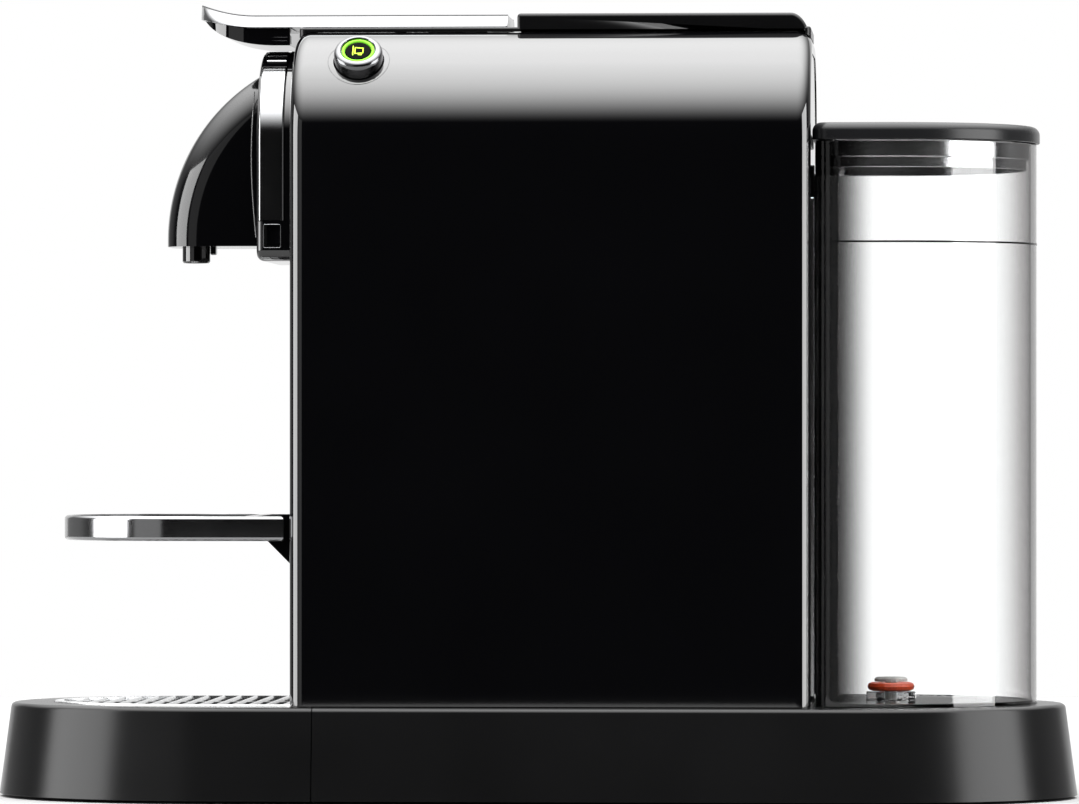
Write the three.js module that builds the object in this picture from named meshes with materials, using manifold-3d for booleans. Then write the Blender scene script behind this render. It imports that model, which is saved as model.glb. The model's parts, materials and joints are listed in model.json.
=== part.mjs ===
// A pod coffee machine as separate pieces, in millimetres, +Z up, resting on z = 0.
// The brewing head faces -X, the water tank stands at the +X end, and the sides face -Y and +Y.
import * as THREE from "three";
import { mergeVertices } from "three/addons/utils/BufferGeometryUtils.js";
import Module from "manifold-3d";

const wasm = await Module();
wasm.setup();

// ---------- driving dimensions ----------

const CLEAR = 0.3; // gap between pieces that touch
const RUN = 0.4; // gap round pieces that slide or turn
const WALL = 2.5; // moulded shells

const BASE_LENGTH = 372;
const BASE_WIDTH = 130;
const BASE_TOP = 32.5;
const BASE_BOTTOM = 1; // the feet stand out this far
const BASE_END = 77; // how far each rounded end reaches along X
const BASE_SLOPE = 0.1334; // the sides lean in by this much for each unit of height
const DECK = 4; // thickness of the base's top

const CASING_FRONT = -81;
const CASING_REAR = 95.5;
const CASING_WIDTH = 112;
const CASING_TOP = 262.5;
const SHOULDER = 37; // radius of the arch's shoulders
const CASING_EDGE = 5; // radius of the arch's front and rear edges
const LIP = 2.4; // how far the end openings stand inside those edges

const TRAY_SPLIT = -72.5; // where the drip tray meets the base
const TRAY_WALL = 3;
const GRID_MARGIN = 19; // from the base's outline to the grid
const GRID_THICK = 2.5;
const GRID_PITCH = 6.4;

const HEAD_FRONT = -94;
const HEAD_TOP = CASING_TOP - 5.5;
const HEAD_BOTTOM = HEAD_TOP - 73;
const HEAD_WIDTH = 70;
const HEAD_SHOULDER = 32; // radius of the head's arched top
const HEAD_CORNER = 4;
const SPOUT_RADIUS = 65.5;
const SPOUT_CENTRE_X = -61.5;
const SPOUT_BOTTOM = HEAD_BOTTOM + 5.4;
const SPOUT_WIDTH = 40;
const SPOUT_EDGE = 12; // rounding of the spout's two sides
const NOZZLE_X = -118;
const NOZZLE_BOTTOM = HEAD_BOTTOM;
const NOZZLE_RADIUS = 4.8;

const LEVER_TIP = -116;
const LEVER_WIDTH = 43;
const LEVER_UNDER = CASING_TOP + 1.9; // underside of the chrome bar
const LEVER_THICK = 4.1;
const LEVER_OPEN = THREE.MathUtils.degToRad(95);
const HINGE_X = -24;
const HINGE_DROP = 8; // hinge axis below the casing's top
const HINGE_RADIUS = 2.5;
const LEVER_REAR = -9;
const CRANK = 14; // hinge axis to crank pin
const RIDGE_TOP = CASING_TOP + 6.3;
const RIDGE_WIDTH = LEVER_WIDTH + 5;

const BREW_AXIS = CASING_TOP - 45.5; // height of the pod's axis
const POD_RADIUS = 18.5;
const CAGE_RADIUS = 17;
const CAGE_LENGTH = 30;
const FRAME_PLATE = 3;
const FRAME_HALF = 27; // brewing frame, outside
const ROCKER_DROP = 34; // rocker axis below the hinge axis
const ROCKER_LOW = 36; // rocker axis to its lower pin
const ROCKER_THICK = 3;
const ROCKER_Y = 19; // inner face of each rocker
const PIN_RADIUS = 2;
const SLOT_PLAY = 1.5; // play of the crank pin in the rocker's fork

const BUTTON_X = -58;
const BUTTON_RADIUS = 8.3;
const BUTTON_PROUD = 5.2;
const BUTTON_TRAVEL = 1.2;
const LIGHT_OUTER = 5.55;
const LIGHT_INNER = 4.35;

const SUPPORT_HINGE_X = -88;
const SUPPORT_Z = 92.7;
const SUPPORT_FRONT = -163.5;
const SUPPORT_WIDTH = 82;
const SUPPORT_THICK = 8.5;
const SUPPORT_WALL = 2.2;

const CONTAINER_TOP = 150;
const CONTAINER_WIDTH = 84;
const CONTAINER_REAR = -20;
const CONTAINER_WALL = 2;

const TANK_FRONT = 97;
const TANK_REAR = 172;
const TANK_WIDTH = 100;
const TANK_TOP = 224.5;
const TANK_WELL = 1.8; // depth of the tank's seat in the base
const TANK_WALL = 2.2;
const TANK_END = 50; // how far the rounded rear reaches along X
const LID_THICK = 5.8;
const SKIRT_HEIGHT = 9.3;
const OUTLET_X = 122;
const COLLAR_RADIUS = 8.5;
const COLLAR_TOP = BASE_TOP + 3.9;
const SEAL_THICK = 2.9;
const VALVE_CAP_RADIUS = 5.65;

// ---------- derived places ----------

const HALF_LENGTH = BASE_LENGTH / 2;
const HALF_WIDTH = BASE_WIDTH / 2;
const CASING_HALF = CASING_WIDTH / 2;
const CASING_BOTTOM = BASE_TOP + CLEAR;
const SHOULDER_Y = CASING_HALF - SHOULDER;
const SHOULDER_Z = CASING_TOP - SHOULDER;
const HINGE_Z = CASING_TOP - HINGE_DROP;
const ROCKER_Z = HINGE_Z - ROCKER_DROP;
const CRANK_START = LEVER_OPEN / 2; // the crank swings evenly to both sides of straight down
const TANK_BOTTOM = BASE_TOP - TANK_WELL + CLEAR;
const SPOUT_CENTRE_Z = SPOUT_BOTTOM + 2.4;

// ---------- solids ----------

function solidOf(geometry) {
  const loose = geometry.index ? geometry.toNonIndexed() : geometry;
  const bare = new THREE.BufferGeometry().setAttribute("position", loose.getAttribute("position"));
  const merged = mergeVertices(bare, 1e-4);
  const corners = merged.index.array;
  const faces = [];
  for (let i = 0; i < corners.length; i += 3) {
    const [a, b, c] = corners.subarray(i, i + 3);
    if (a !== b && b !== c && c !== a) faces.push(a, b, c);
  }
  return new wasm.Manifold(
    new wasm.Mesh({
      numProp: 3,
      vertProperties: new Float32Array(merged.attributes.position.array),
      triVerts: new Uint32Array(faces),
    }),
  );
}

function geometryOf(solid) {
  const mesh = solid.getMesh();
  const positions = new Float32Array(mesh.numVert * 3);
  for (let i = 0; i < mesh.numVert; i++) {
    positions.set(mesh.vertProperties.subarray(i * mesh.numProp, i * mesh.numProp + 3), i * 3);
  }
  return new THREE.BufferGeometry()
    .setAttribute("position", new THREE.BufferAttribute(positions, 3))
    .setIndex(new THREE.BufferAttribute(new Uint32Array(mesh.triVerts), 1));
}

const join = (...solids) => solids.reduce((a, b) => a.add(b));
const cut = (from, ...solids) => solids.reduce((a, b) => a.subtract(b), from);

// How an outline's own x, y and its extrusion lie in space, for an extrusion along each axis.
const TURN = {
  z: new THREE.Matrix4(),
  y: new THREE.Matrix4().makeBasis(
    new THREE.Vector3(1, 0, 0),
    new THREE.Vector3(0, 0, 1),
    new THREE.Vector3(0, -1, 0),
  ),
  x: new THREE.Matrix4().makeBasis(
    new THREE.Vector3(0, 1, 0),
    new THREE.Vector3(0, 0, 1),
    new THREE.Vector3(1, 0, 0),
  ),
};

// A prism of an outline between two places on one axis. Along x the outline is (y, z), along y it is
// (x, z) and along z it is (x, y). A bevel rounds both ends inside the outline.
function prism(outline, axis, low, high, bevel = 0, arcs = 3) {
  const geometry = new THREE.ExtrudeGeometry(outline, {
    depth: high - low - 2 * bevel,
    curveSegments: arcs,
    bevelEnabled: bevel > 0,
    bevelThickness: bevel,
    bevelSize: bevel,
    bevelOffset: -bevel,
    bevelSegments: 3,
  });
  geometry.translate(0, 0, axis === "y" ? bevel - high : low + bevel);
  return solidOf(geometry.applyMatrix4(TURN[axis]));
}

function rounded(x0, y0, x1, y1, radius) {
  const shape = new THREE.Shape();
  const quarter = Math.PI / 2;
  shape.moveTo(x0 + radius, y0);
  shape.lineTo(x1 - radius, y0);
  shape.absarc(x1 - radius, y0 + radius, radius, -quarter, 0);
  shape.lineTo(x1, y1 - radius);
  shape.absarc(x1 - radius, y1 - radius, radius, 0, quarter);
  shape.lineTo(x0 + radius, y1);
  shape.absarc(x0 + radius, y1 - radius, radius, quarter, 2 * quarter);
  shape.lineTo(x0, y0 + radius);
  shape.absarc(x0 + radius, y0 + radius, radius, 2 * quarter, 3 * quarter);
  return shape;
}

function polygon(...points) {
  return new THREE.Shape(points.map(([x, y]) => new THREE.Vector2(x, y)));
}

function box(x0, y0, z0, x1, y1, z1) {
  const geometry = new THREE.BoxGeometry(x1 - x0, y1 - y0, z1 - z0);
  geometry.translate((x0 + x1) / 2, (y0 + y1) / 2, (z0 + z1) / 2);
  return solidOf(geometry);
}

// A round bar along an axis; a and b are the other two coordinates, in x, y, z order.
function rod(axis, a, b, low, high, radius, sides = 16) {
  const geometry = new THREE.CylinderGeometry(radius, radius, high - low, sides);
  const middle = (low + high) / 2;
  if (axis === "x") geometry.rotateZ(Math.PI / 2).translate(middle, a, b);
  if (axis === "y") geometry.translate(a, middle, b);
  if (axis === "z") geometry.rotateX(Math.PI / 2).translate(a, b, middle);
  return solidOf(geometry);
}

// A turned solid about +Z from (radius, z) points that start and end on the axis, or a closed ring.
function turned(points, sides = 20) {
  const profile = points.map(([r, z]) => new THREE.Vector2(r, z));
  return solidOf(new THREE.LatheGeometry(profile, sides).rotateX(Math.PI / 2));
}

function ring(inner, outer, low, high, sides = 20) {
  return turned([[inner, low], [outer, low], [outer, high], [inner, high], [inner, low]], sides);
}

// A round tube or cord through hand-placed points.
function tube(points, radius, steps = 24) {
  const path = new THREE.CatmullRomCurve3(points.map((p) => new THREE.Vector3(...p)));
  const section = new THREE.Shape().absarc(0, 0, radius, 0, 2 * Math.PI);
  const settings = { extrudePath: path, steps, curveSegments: 3 };
  return solidOf(new THREE.ExtrudeGeometry(section, settings));
}

// An outline's points with none repeated.
function pointsOf(outline, arcs) {
  const all = outline.getPoints(arcs);
  return all.filter((p, i) => p.distanceTo(all[(i + 1) % all.length]) > 1e-4);
}

// Stacked level outlines with equal numbers of points, closed by flat ends.
function loft(levels) {
  const count = levels[0].points.length;
  const positions = [];
  const faces = [];
  for (const { z, points } of levels) {
    for (const p of points) positions.push(p.x, p.y, z);
  }
  for (let level = 0; level + 1 < levels.length; level++) {
    for (let i = 0; i < count; i++) {
      const a = level * count + i;
      const b = level * count + ((i + 1) % count);
      faces.push(a, b, b + count, a, b + count, a + count);
    }
  }
  const top = (levels.length - 1) * count;
  for (const [a, b, c] of THREE.ShapeUtils.triangulateShape(levels[0].points, [])) faces.push(a, c, b);
  for (const [a, b, c] of THREE.ShapeUtils.triangulateShape(levels.at(-1).points, [])) {
    faces.push(top + a, top + b, top + c);
  }
  const geometry = new THREE.BufferGeometry();
  geometry.setAttribute("position", new THREE.Float32BufferAttribute(positions, 3));
  return solidOf(geometry.setIndex(faces));
}

// ---------- the scene graph ----------

const machine = new THREE.Group();
const finishes = {
  satinBlack: { color: 0x141415, roughness: 0.45, metalness: 0 },
  glossBlack: { color: 0x050506, roughness: 0.08, metalness: 0 },
  chrome: { color: 0xd8d8da, roughness: 0.08, metalness: 1 },
  steel: { color: 0xa9abae, roughness: 0.3, metalness: 1 },
  brass: { color: 0xb08d4f, roughness: 0.35, metalness: 1 },
  aluminium: { color: 0xb4b7ba, roughness: 0.4, metalness: 1 },
  rubber: { color: 0x1b1b1b, roughness: 0.85, metalness: 0 },
  seal: { color: 0xc8401c, roughness: 0.5, metalness: 0 },
  clear: { color: 0xe8ecec, roughness: 0.05, metalness: 0, transparent: true, opacity: 0.3 },
  white: { color: 0xe6e6e2, roughness: 0.5, metalness: 0 },
  silver: { color: 0xb8b8b8, roughness: 0.25, metalness: 0.4 },
  darkGrey: { color: 0x3c3d40, roughness: 0.5, metalness: 0 },
  light: { color: 0x7fd04a, roughness: 0.4, metalness: 0, emissive: 0x3f7f20 },
  board: { color: 0x1f5a34, roughness: 0.6, metalness: 0 },
  silicone: { color: 0xcfcfc4, roughness: 0.6, metalness: 0 },
};

function add(name, finish, solid) {
  const mesh = new THREE.Mesh(geometryOf(solid), new THREE.MeshStandardMaterial(finishes[finish]));
  mesh.name = name;
  machine.add(mesh);
  return mesh;
}

// ---------- base ----------

// The base's plan, a straight-sided bar with elliptical ends, brought in by an inset.
function basePlan(inset) {
  const flat = HALF_LENGTH - BASE_END;
  const half = HALF_WIDTH - inset;
  const quarter = Math.PI / 2;
  const plan = new THREE.Shape();
  plan.moveTo(-flat, -half);
  plan.lineTo(flat, -half);
  plan.absellipse(flat, 0, BASE_END - inset, half, -quarter, quarter);
  plan.lineTo(-flat, half);
  plan.absellipse(-flat, 0, BASE_END - inset, half, quarter, 3 * quarter);
  return plan;
}

// The base's leaning body from one height to another, with its upper edge eased where edge is set.
function baseBody(inset, low, high, edge = 0) {
  const lean = (z) => inset + (z - BASE_BOTTOM) * BASE_SLOPE;
  const level = (z, extra) => ({ z, points: pointsOf(basePlan(lean(z) + extra), 9) });
  const levels = [level(low, 0), level(high - edge, 0)];
  if (edge > 0) levels.push(level(high, edge));
  return loft(levels);
}

const SPAN = 400; // longer than the whole machine, for cutting tools
const behind = (x) => box(x, -SPAN, -SPAN, SPAN, SPAN, SPAN);
const ahead = (x) => box(-SPAN, -SPAN, -SPAN, x, SPAN, SPAN);
const above = (z) => box(-SPAN, -SPAN, z, SPAN, SPAN, SPAN);

const BASE_EDGE = 1.4;
const baseOuter = baseBody(0, BASE_BOTTOM, BASE_TOP, BASE_EDGE);
const COVER_THICK = 2.3;
const SCREW_PLACES = [[-40, -48], [-40, 48], [84, -48], [84, 48]];
const SCREW_RADIUS = 1.6;
const SCREW_HEAD = 3.5;
const BOSS_RADIUS = 4.5;
const HOSE_RADIUS = 3.2;
const DECK_HOLE = [44, -30];
const CONNECTOR_RADIUS = 11;
const INLET_X = 60;
const INLET_Z = 17;
const INLET_RADIUS = 6;

function tankPlan(inset) {
  const half = TANK_WIDTH / 2 - inset;
  const corner = 6;
  const front = TANK_FRONT + inset;
  const flat = TANK_REAR - TANK_END;
  const quarter = Math.PI / 2;
  const plan = new THREE.Shape();
  plan.moveTo(front + corner, -half);
  plan.lineTo(flat, -half);
  plan.absellipse(flat, 0, TANK_END - inset, half, -quarter, quarter);
  plan.lineTo(front + corner, half);
  plan.absarc(front + corner, half - corner, corner, quarter, 2 * quarter);
  plan.lineTo(front, corner - half);
  plan.absarc(front + corner, corner - half, corner, 2 * quarter, 3 * quarter);
  return plan;
}

function makeBase() {
  const cavity = baseBody(WALL, BASE_BOTTOM - 1, BASE_TOP - DECK).intersect(behind(TRAY_SPLIT + WALL));
  const bosses = SCREW_PLACES.map(([x, y]) =>
    rod("z", x, y, BASE_BOTTOM + COVER_THICK + CLEAR, BASE_TOP - 1, BOSS_RADIUS, 8),
  );
  const pilots = SCREW_PLACES.map(([x, y]) =>
    rod("z", x, y, 0, BASE_TOP - DECK, SCREW_RADIUS + CLEAR, 8),
  );
  const well = prism(tankPlan(-CLEAR), "z", BASE_TOP - TANK_WELL, BASE_TOP + 5, 0, 10);
  const housing = cut(
    join(cut(baseOuter.intersect(behind(TRAY_SPLIT)), cavity), ...bosses),
    ...pilots,
    well,
    rod("z", OUTLET_X, 0, 20, 40, CONNECTOR_RADIUS + CLEAR),
    rod("z", ...DECK_HOLE, 20, 40, HOSE_RADIUS + 2, 16),
    rod("y", INLET_X, INLET_Z, 40, 80, INLET_RADIUS + CLEAR),
  );
  add("base_housing", "satinBlack", housing);

  const plate = baseBody(WALL + CLEAR, BASE_BOTTOM, BASE_BOTTOM + COVER_THICK);
  const trimmed = plate.intersect(behind(TRAY_SPLIT + WALL + CLEAR));
  const heads = SCREW_PLACES.map(([x, y]) => rod("z", x, y, 0, BASE_BOTTOM + 1.4, SCREW_HEAD + CLEAR, 10));
  add("base_bottom_cover", "satinBlack", cut(trimmed, ...pilots, ...heads, ...footPockets(BASE_FEET)));
}

const FOOT_RADIUS = 9;
const FOOT_HEIGHT = 2;
const BASE_FEET = [[-55, -44], [-55, 44], [146, -36], [146, 36]];
const FOOT_NAMES = ["foot_middle_right", "foot_middle_left", "foot_rear_right", "foot_rear_left"];
const TRAY_PADS = [[-140, -38], [-140, 38]]; // moulded glides under the drip tray

function footPockets(places) {
  return places.map(([x, y]) => rod("z", x, y, 0, FOOT_HEIGHT + CLEAR, FOOT_RADIUS + CLEAR));
}

function makeFeet() {
  BASE_FEET.forEach(([x, y], i) => {
    const foot = turned([
      [0, 0], [FOOT_RADIUS - 1, 0], [FOOT_RADIUS, 0.6], [FOOT_RADIUS, FOOT_HEIGHT], [0, FOOT_HEIGHT],
    ], 16);
    const mesh = add(FOOT_NAMES[i], "rubber", foot);
    mesh.position.set(x, y, 0);
  });
}

// ---------- drip tray module ----------

const TRAY_FLOOR = 2.5;
const GRID_GAP = 3.9; // opening between the grid's bars
const GRID_TOP = BASE_TOP + 0.5;
const GRID_REAR = CASING_FRONT - CLEAR;
const GRID_BORDER = 3;
const LEDGE = 3.5; // what the grid rests on, all round

function gridPlan(inset) {
  const zone = prism(basePlan(GRID_MARGIN + inset), "z", 0, 100, 0, 10);
  return zone.intersect(ahead(GRID_REAR - inset));
}

function makeTray() {
  const low = BASE_BOTTOM + TRAY_FLOOR;
  const rear = TRAY_SPLIT - CLEAR;
  const inside = baseBody(TRAY_WALL, low, GRID_TOP - GRID_THICK - LEDGE).intersect(ahead(rear - TRAY_WALL));
  const recess = gridPlan(-CLEAR).intersect(above(GRID_TOP - GRID_THICK - CLEAR));
  const mouth = gridPlan(LEDGE).intersect(above(low));
  const pads = TRAY_PADS.map(([x, y]) => rod("z", x, y, 0, BASE_BOTTOM + 1, FOOT_RADIUS));
  const shell = cut(baseOuter.intersect(ahead(rear)), inside, recess, mouth);
  add("drip_tray", "satinBlack", join(shell, ...pads));

  const grid = gridPlan(0).intersect(box(-SPAN, -SPAN, GRID_TOP - GRID_THICK, SPAN, SPAN, GRID_TOP));
  const gaps = [];
  const rows = Math.floor((GRID_REAR - GRID_MARGIN + HALF_LENGTH - 2 * GRID_BORDER) / GRID_PITCH);
  const columns = 2;
  const width = (2 * (HALF_WIDTH - GRID_MARGIN)) / columns;
  for (let row = 0; row < rows; row++) {
    const x = GRID_REAR - GRID_BORDER - row * GRID_PITCH;
    for (let column = 0; column < columns; column++) {
      const y = (column - columns / 2) * width;
      gaps.push(box(x - GRID_GAP, y + 1.2, 0, x, y + width - 1.2, 100));
    }
  }
  const holes = join(...gaps).intersect(gridPlan(GRID_BORDER));
  add("drip_grid", "steel", grid.subtract(holes));
}

function makeContainer() {
  const half = CONTAINER_WIDTH / 2;
  const low = BASE_TOP + 2 * CLEAR;
  const front = CASING_FRONT + 2.4;
  const outer = prism(rounded(front, -half, CONTAINER_REAR, half, 8), "z", low, CONTAINER_TOP);
  const w = CONTAINER_WALL;
  const hollow = prism(
    rounded(front + w, w - half, CONTAINER_REAR - w, half - w, 8 - w), "z", low + w, CONTAINER_TOP + 1,
  );
  add("capsule_container", "satinBlack", outer.subtract(hollow));
  const face = rounded(-half, low, half, CONTAINER_TOP + 5, 3);
  const panel = prism(face, "x", CASING_FRONT - CLEAR, front - CLEAR);
  const lugs = [-1, 1].map((side) => {
    const [a, b] = side < 0 ? [-LUG_Y - 3, -LUG_Y] : [LUG_Y, LUG_Y + 3];
    const ear = new THREE.Shape();
    ear.moveTo(CASING_FRONT, SUPPORT_Z - 13);
    ear.lineTo(CASING_FRONT, SUPPORT_Z + 5);
    ear.absarc(SUPPORT_HINGE_X, SUPPORT_Z, 4.2, Math.PI / 2, Math.PI * 1.25);
    return prism(ear, "y", a, b);
  });
  const bore = rod("y", SUPPORT_HINGE_X, SUPPORT_Z, -50, 50, PIN_RADIUS + CLEAR, 16);
  add("container_front", "glossBlack", cut(join(panel, ...lugs), bore));
  const reach = SUPPORT_WIDTH / 2 - 0.9;
  add("support_pin", "steel", rod("y", SUPPORT_HINGE_X, SUPPORT_Z, -reach, reach, PIN_RADIUS, 16));
}

const LUG_Y = SUPPORT_WIDTH / 2 - SUPPORT_WALL - RUN - 3.2; // inner face of each hinge lug

// ---------- cup support ----------

function supportPlan(inset) {
  const radius = SUPPORT_WIDTH / 2 - inset;
  const centre = SUPPORT_FRONT + SUPPORT_WIDTH / 2;
  const plan = new THREE.Shape();
  plan.moveTo(SUPPORT_REAR, radius);
  plan.lineTo(centre, radius);
  plan.absarc(centre, 0, radius, Math.PI / 2, Math.PI * 1.5);
  plan.lineTo(SUPPORT_REAR, -radius);
  return plan;
}

const SUPPORT_REAR = SUPPORT_HINGE_X + 4;

function makeSupport() {
  const low = SUPPORT_Z - SUPPORT_THICK / 2;
  const high = SUPPORT_Z + SUPPORT_THICK / 2;
  const room = prism(supportPlan(SUPPORT_WALL), "z", low - 1, high + 1, 0, 10);
  const open = room.intersect(ahead(SUPPORT_HINGE_X - 10));
  const slot = room.intersect(behind(SUPPORT_HINGE_X - 7));
  const half = SUPPORT_THICK / 2;
  const ends = rounded(SUPPORT_FRONT - 20, low, SUPPORT_REAR, high, half - 0.2);
  const band = prism(supportPlan(0), "z", low, high, 0, 10).intersect(prism(ends, "y", -60, 60));
  const reach = SUPPORT_WIDTH / 2 - 0.6;
  const bore = rod("y", SUPPORT_HINGE_X, SUPPORT_Z, -reach, reach, PIN_RADIUS + CLEAR, 16);
  add("cup_support_ring", "chrome", cut(band, open, slot, bore));

  const ledge = SUPPORT_WALL + CLEAR;
  const sheet = prism(supportPlan(ledge), "z", high - 3, high - 1.2, 0, 10);
  const plate = sheet.intersect(ahead(SUPPORT_HINGE_X - 10 - CLEAR));
  const pierced = prism(supportPlan(ledge + 4), "z", low, high + 1, 0, 10);
  const inner = pierced.intersect(ahead(SUPPORT_HINGE_X - 14));
  const bars = [];
  for (let x = SUPPORT_FRONT + 8; x < SUPPORT_HINGE_X - 16; x += 7) {
    bars.push(box(x, -60, low, x + 4, 60, high + 1));
  }
  const gaps = join(...bars).intersect(inner);
  add("cup_support_grid", "steel", cut(plate, gaps));
}

// ---------- casing ----------

// The casing's arch in (y, z), brought in by an inset, down to a given height.
function arch(inset, low) {
  const half = CASING_HALF - inset;
  const radius = SHOULDER - inset;
  const outline = new THREE.Shape();
  outline.moveTo(-half, low);
  outline.lineTo(half, low);
  outline.lineTo(half, SHOULDER_Z);
  outline.absarc(SHOULDER_Y, SHOULDER_Z, radius, 0, Math.PI / 2);
  outline.lineTo(-SHOULDER_Y, CASING_TOP - inset);
  outline.absarc(-SHOULDER_Y, SHOULDER_Z, radius, Math.PI / 2, Math.PI);
  return outline;
}

const SLOT_FRONT = CASING_FRONT + 3.5;
const SLOT_HALF = LEVER_WIDTH / 2 + RUN;
const SWEEP = Math.hypot(LEVER_REAR - HINGE_X, LEVER_UNDER + LEVER_THICK - HINGE_Z); // lever's rear end
const SLOT_REAR = HINGE_X + SWEEP + RUN;
const OUTLET_HALF = 8;
const CHANNEL = 3.6;
const CHANNEL_BORE = 2.2;
const OUTLET_Z = BREW_AXIS - 13; // height of the coffee channel
const OUTLET_LOW = OUTLET_Z - 6;
const OUTLET_HIGH = OUTLET_Z + 6;
const PANEL_THICK = 2.2;

// The frame of a button: +Z along its travel, with its origin on the casing's shoulder.
function buttonPlace(side) {
  const reach = SHOULDER * Math.SQRT1_2;
  const place = new THREE.Object3D();
  place.position.set(BUTTON_X, side * (SHOULDER_Y + reach), SHOULDER_Z + reach);
  place.rotation.x = (-side * Math.PI) / 4;
  return place;
}

function buttonHole(side) {
  const place = buttonPlace(side);
  place.updateMatrix();
  const hole = new THREE.CylinderGeometry(BUTTON_RADIUS + RUN, BUTTON_RADIUS + RUN, 20, 32);
  return solidOf(hole.rotateX(Math.PI / 2).applyMatrix4(place.matrix));
}

function makeCasing() {
  const drop = 20;
  const outer = prism(arch(0, CASING_BOTTOM - drop), "x", CASING_FRONT, CASING_REAR, CASING_EDGE, 7);
  const hollow = arch(WALL, CASING_BOTTOM - drop - 1);
  const inner = prism(hollow, "x", CASING_FRONT + WALL, CASING_REAR - WALL, 0, 7);
  const ends = prism(arch(CASING_EDGE + LIP, CASING_BOTTOM - drop - 1), "x", -SPAN, SPAN, 0, 7);
  const slot = box(SLOT_FRONT, -SLOT_HALF, CASING_TOP - 12, SLOT_REAR, SLOT_HALF, CASING_TOP + 12);
  const shell = cut(outer, inner, ends, slot, buttonHole(-1), buttonHole(1)).intersect(above(CASING_BOTTOM));
  add("casing_shell", "glossBlack", shell);

  const panel = arch(CASING_EDGE + LIP + CLEAR, CASING_BOTTOM);
  const face = prism(panel, "x", CASING_FRONT + CLEAR, CASING_FRONT + CLEAR + PANEL_THICK, 0, 7);
  const half = CONTAINER_WIDTH / 2 + RUN;
  const doorway = box(-SPAN, -half, 0, SPAN, half, CONTAINER_TOP + 5 + RUN);
  const outlet = box(-SPAN, -OUTLET_HALF, OUTLET_LOW, SPAN, OUTLET_HALF, OUTLET_HIGH);
  add("front_panel", "glossBlack", cut(face, doorway, outlet));
  const back = prism(panel, "x", CASING_REAR - CLEAR - PANEL_THICK, CASING_REAR - CLEAR, 0, 7);
  add("rear_panel", "glossBlack", back);
}

const RIDGE_FRONT = -5.4;
const BAND_TOP = LEVER_UNDER - CLEAR;
const POD_SLOT = 20; // half-width of the pod opening
const COVER_FRONT = CASING_FRONT + 0.8;

function makeTopCover() {
  const half = RIDGE_WIDTH / 2;
  const rear = CASING_REAR - 0.5;
  const low = CASING_TOP - CASING_EDGE - 1;
  const band = prism(rounded(COVER_FRONT, -half, rear, half, 2), "z", low, BAND_TOP);
  const fall = 7;
  const side = new THREE.Shape();
  side.moveTo(RIDGE_FRONT, low - 10);
  side.lineTo(rear, low - 10);
  side.absellipse(rear - fall, RIDGE_TOP - 12, fall, 12, 0, Math.PI / 2);
  side.lineTo(RIDGE_FRONT, RIDGE_TOP);
  const ridge = prism(side, "y", -half, half, 1, 5);
  const skin = prism(arch(-CLEAR, 0), "x", CASING_FRONT - CLEAR, CASING_REAR + CLEAR, CASING_EDGE + CLEAR, 7);
  const mouth = box(SLOT_FRONT + 3, -POD_SLOT, 0, POD_REAR, POD_SLOT, SPAN);
  const hinge = box(POD_REAR + 4, -SLOT_HALF, 0, SLOT_REAR - 1.5, SLOT_HALF, BAND_TOP + 0.01);
  const sweep = rod("y", HINGE_X, HINGE_Z, -SLOT_HALF, SLOT_HALF, SWEEP + RUN, 48);
  add("top_cover", "satinBlack", cut(join(band, ridge), skin, mouth, hinge, sweep));
}

const POD_REAR = -48;

// ---------- brewing head and spout ----------

const HEAD_WALL = 2.5;
const TRIM_THICK = 1.1;
const TRIM_FRONT = HEAD_FRONT + 0.8;
const TRIM_REAR = CASING_FRONT - 3.5;
const TRIM_BOTTOM = HEAD_BOTTOM + 13.8;

// A slice of the head along X: arched on top, with slightly rounded lower corners.
function headBlock(inset, front, rear) {
  const half = HEAD_WIDTH / 2 - inset;
  const low = HEAD_BOTTOM + inset;
  const shoulder = HEAD_SHOULDER - inset;
  const corner = HEAD_CORNER - inset / 2;
  const y = half - shoulder;
  const z = HEAD_TOP - inset - shoulder;
  const outline = new THREE.Shape();
  outline.moveTo(corner - half, low);
  outline.lineTo(half - corner, low);
  outline.absarc(half - corner, low + corner, corner, -Math.PI / 2, 0);
  outline.lineTo(half, z);
  outline.absarc(y, z, shoulder, 0, Math.PI / 2);
  outline.lineTo(-y, HEAD_TOP - inset);
  outline.absarc(-y, z, shoulder, Math.PI / 2, Math.PI);
  outline.lineTo(-half, low + corner);
  outline.absarc(corner - half, low + corner, corner, Math.PI, Math.PI * 1.5);
  return prism(outline, "x", front, rear, 0, 6);
}

function makeHead() {
  const rear = CASING_FRONT - CLEAR;
  const gap = TRIM_THICK + CLEAR;
  const groove = headBlock(-1, TRIM_FRONT - CLEAR, TRIM_REAR + CLEAR).subtract(headBlock(gap, -SPAN, SPAN));
  const hollow = headBlock(HEAD_WALL, HEAD_FRONT + HEAD_WALL, SPAN);
  const outlet = box(-SPAN, -OUTLET_HALF, OUTLET_LOW, SPAN, OUTLET_HALF, OUTLET_HIGH);
  const frame = headBlock(0, HEAD_FRONT, rear);
  add("head_frame", "glossBlack", cut(frame, groove.intersect(above(TRIM_BOTTOM - CLEAR)), hollow, outlet));
  const trim = headBlock(0, TRIM_FRONT, TRIM_REAR).subtract(headBlock(TRIM_THICK, -SPAN, SPAN));
  add("head_trim", "chrome", trim.intersect(above(TRIM_BOTTOM)));
}

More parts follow.
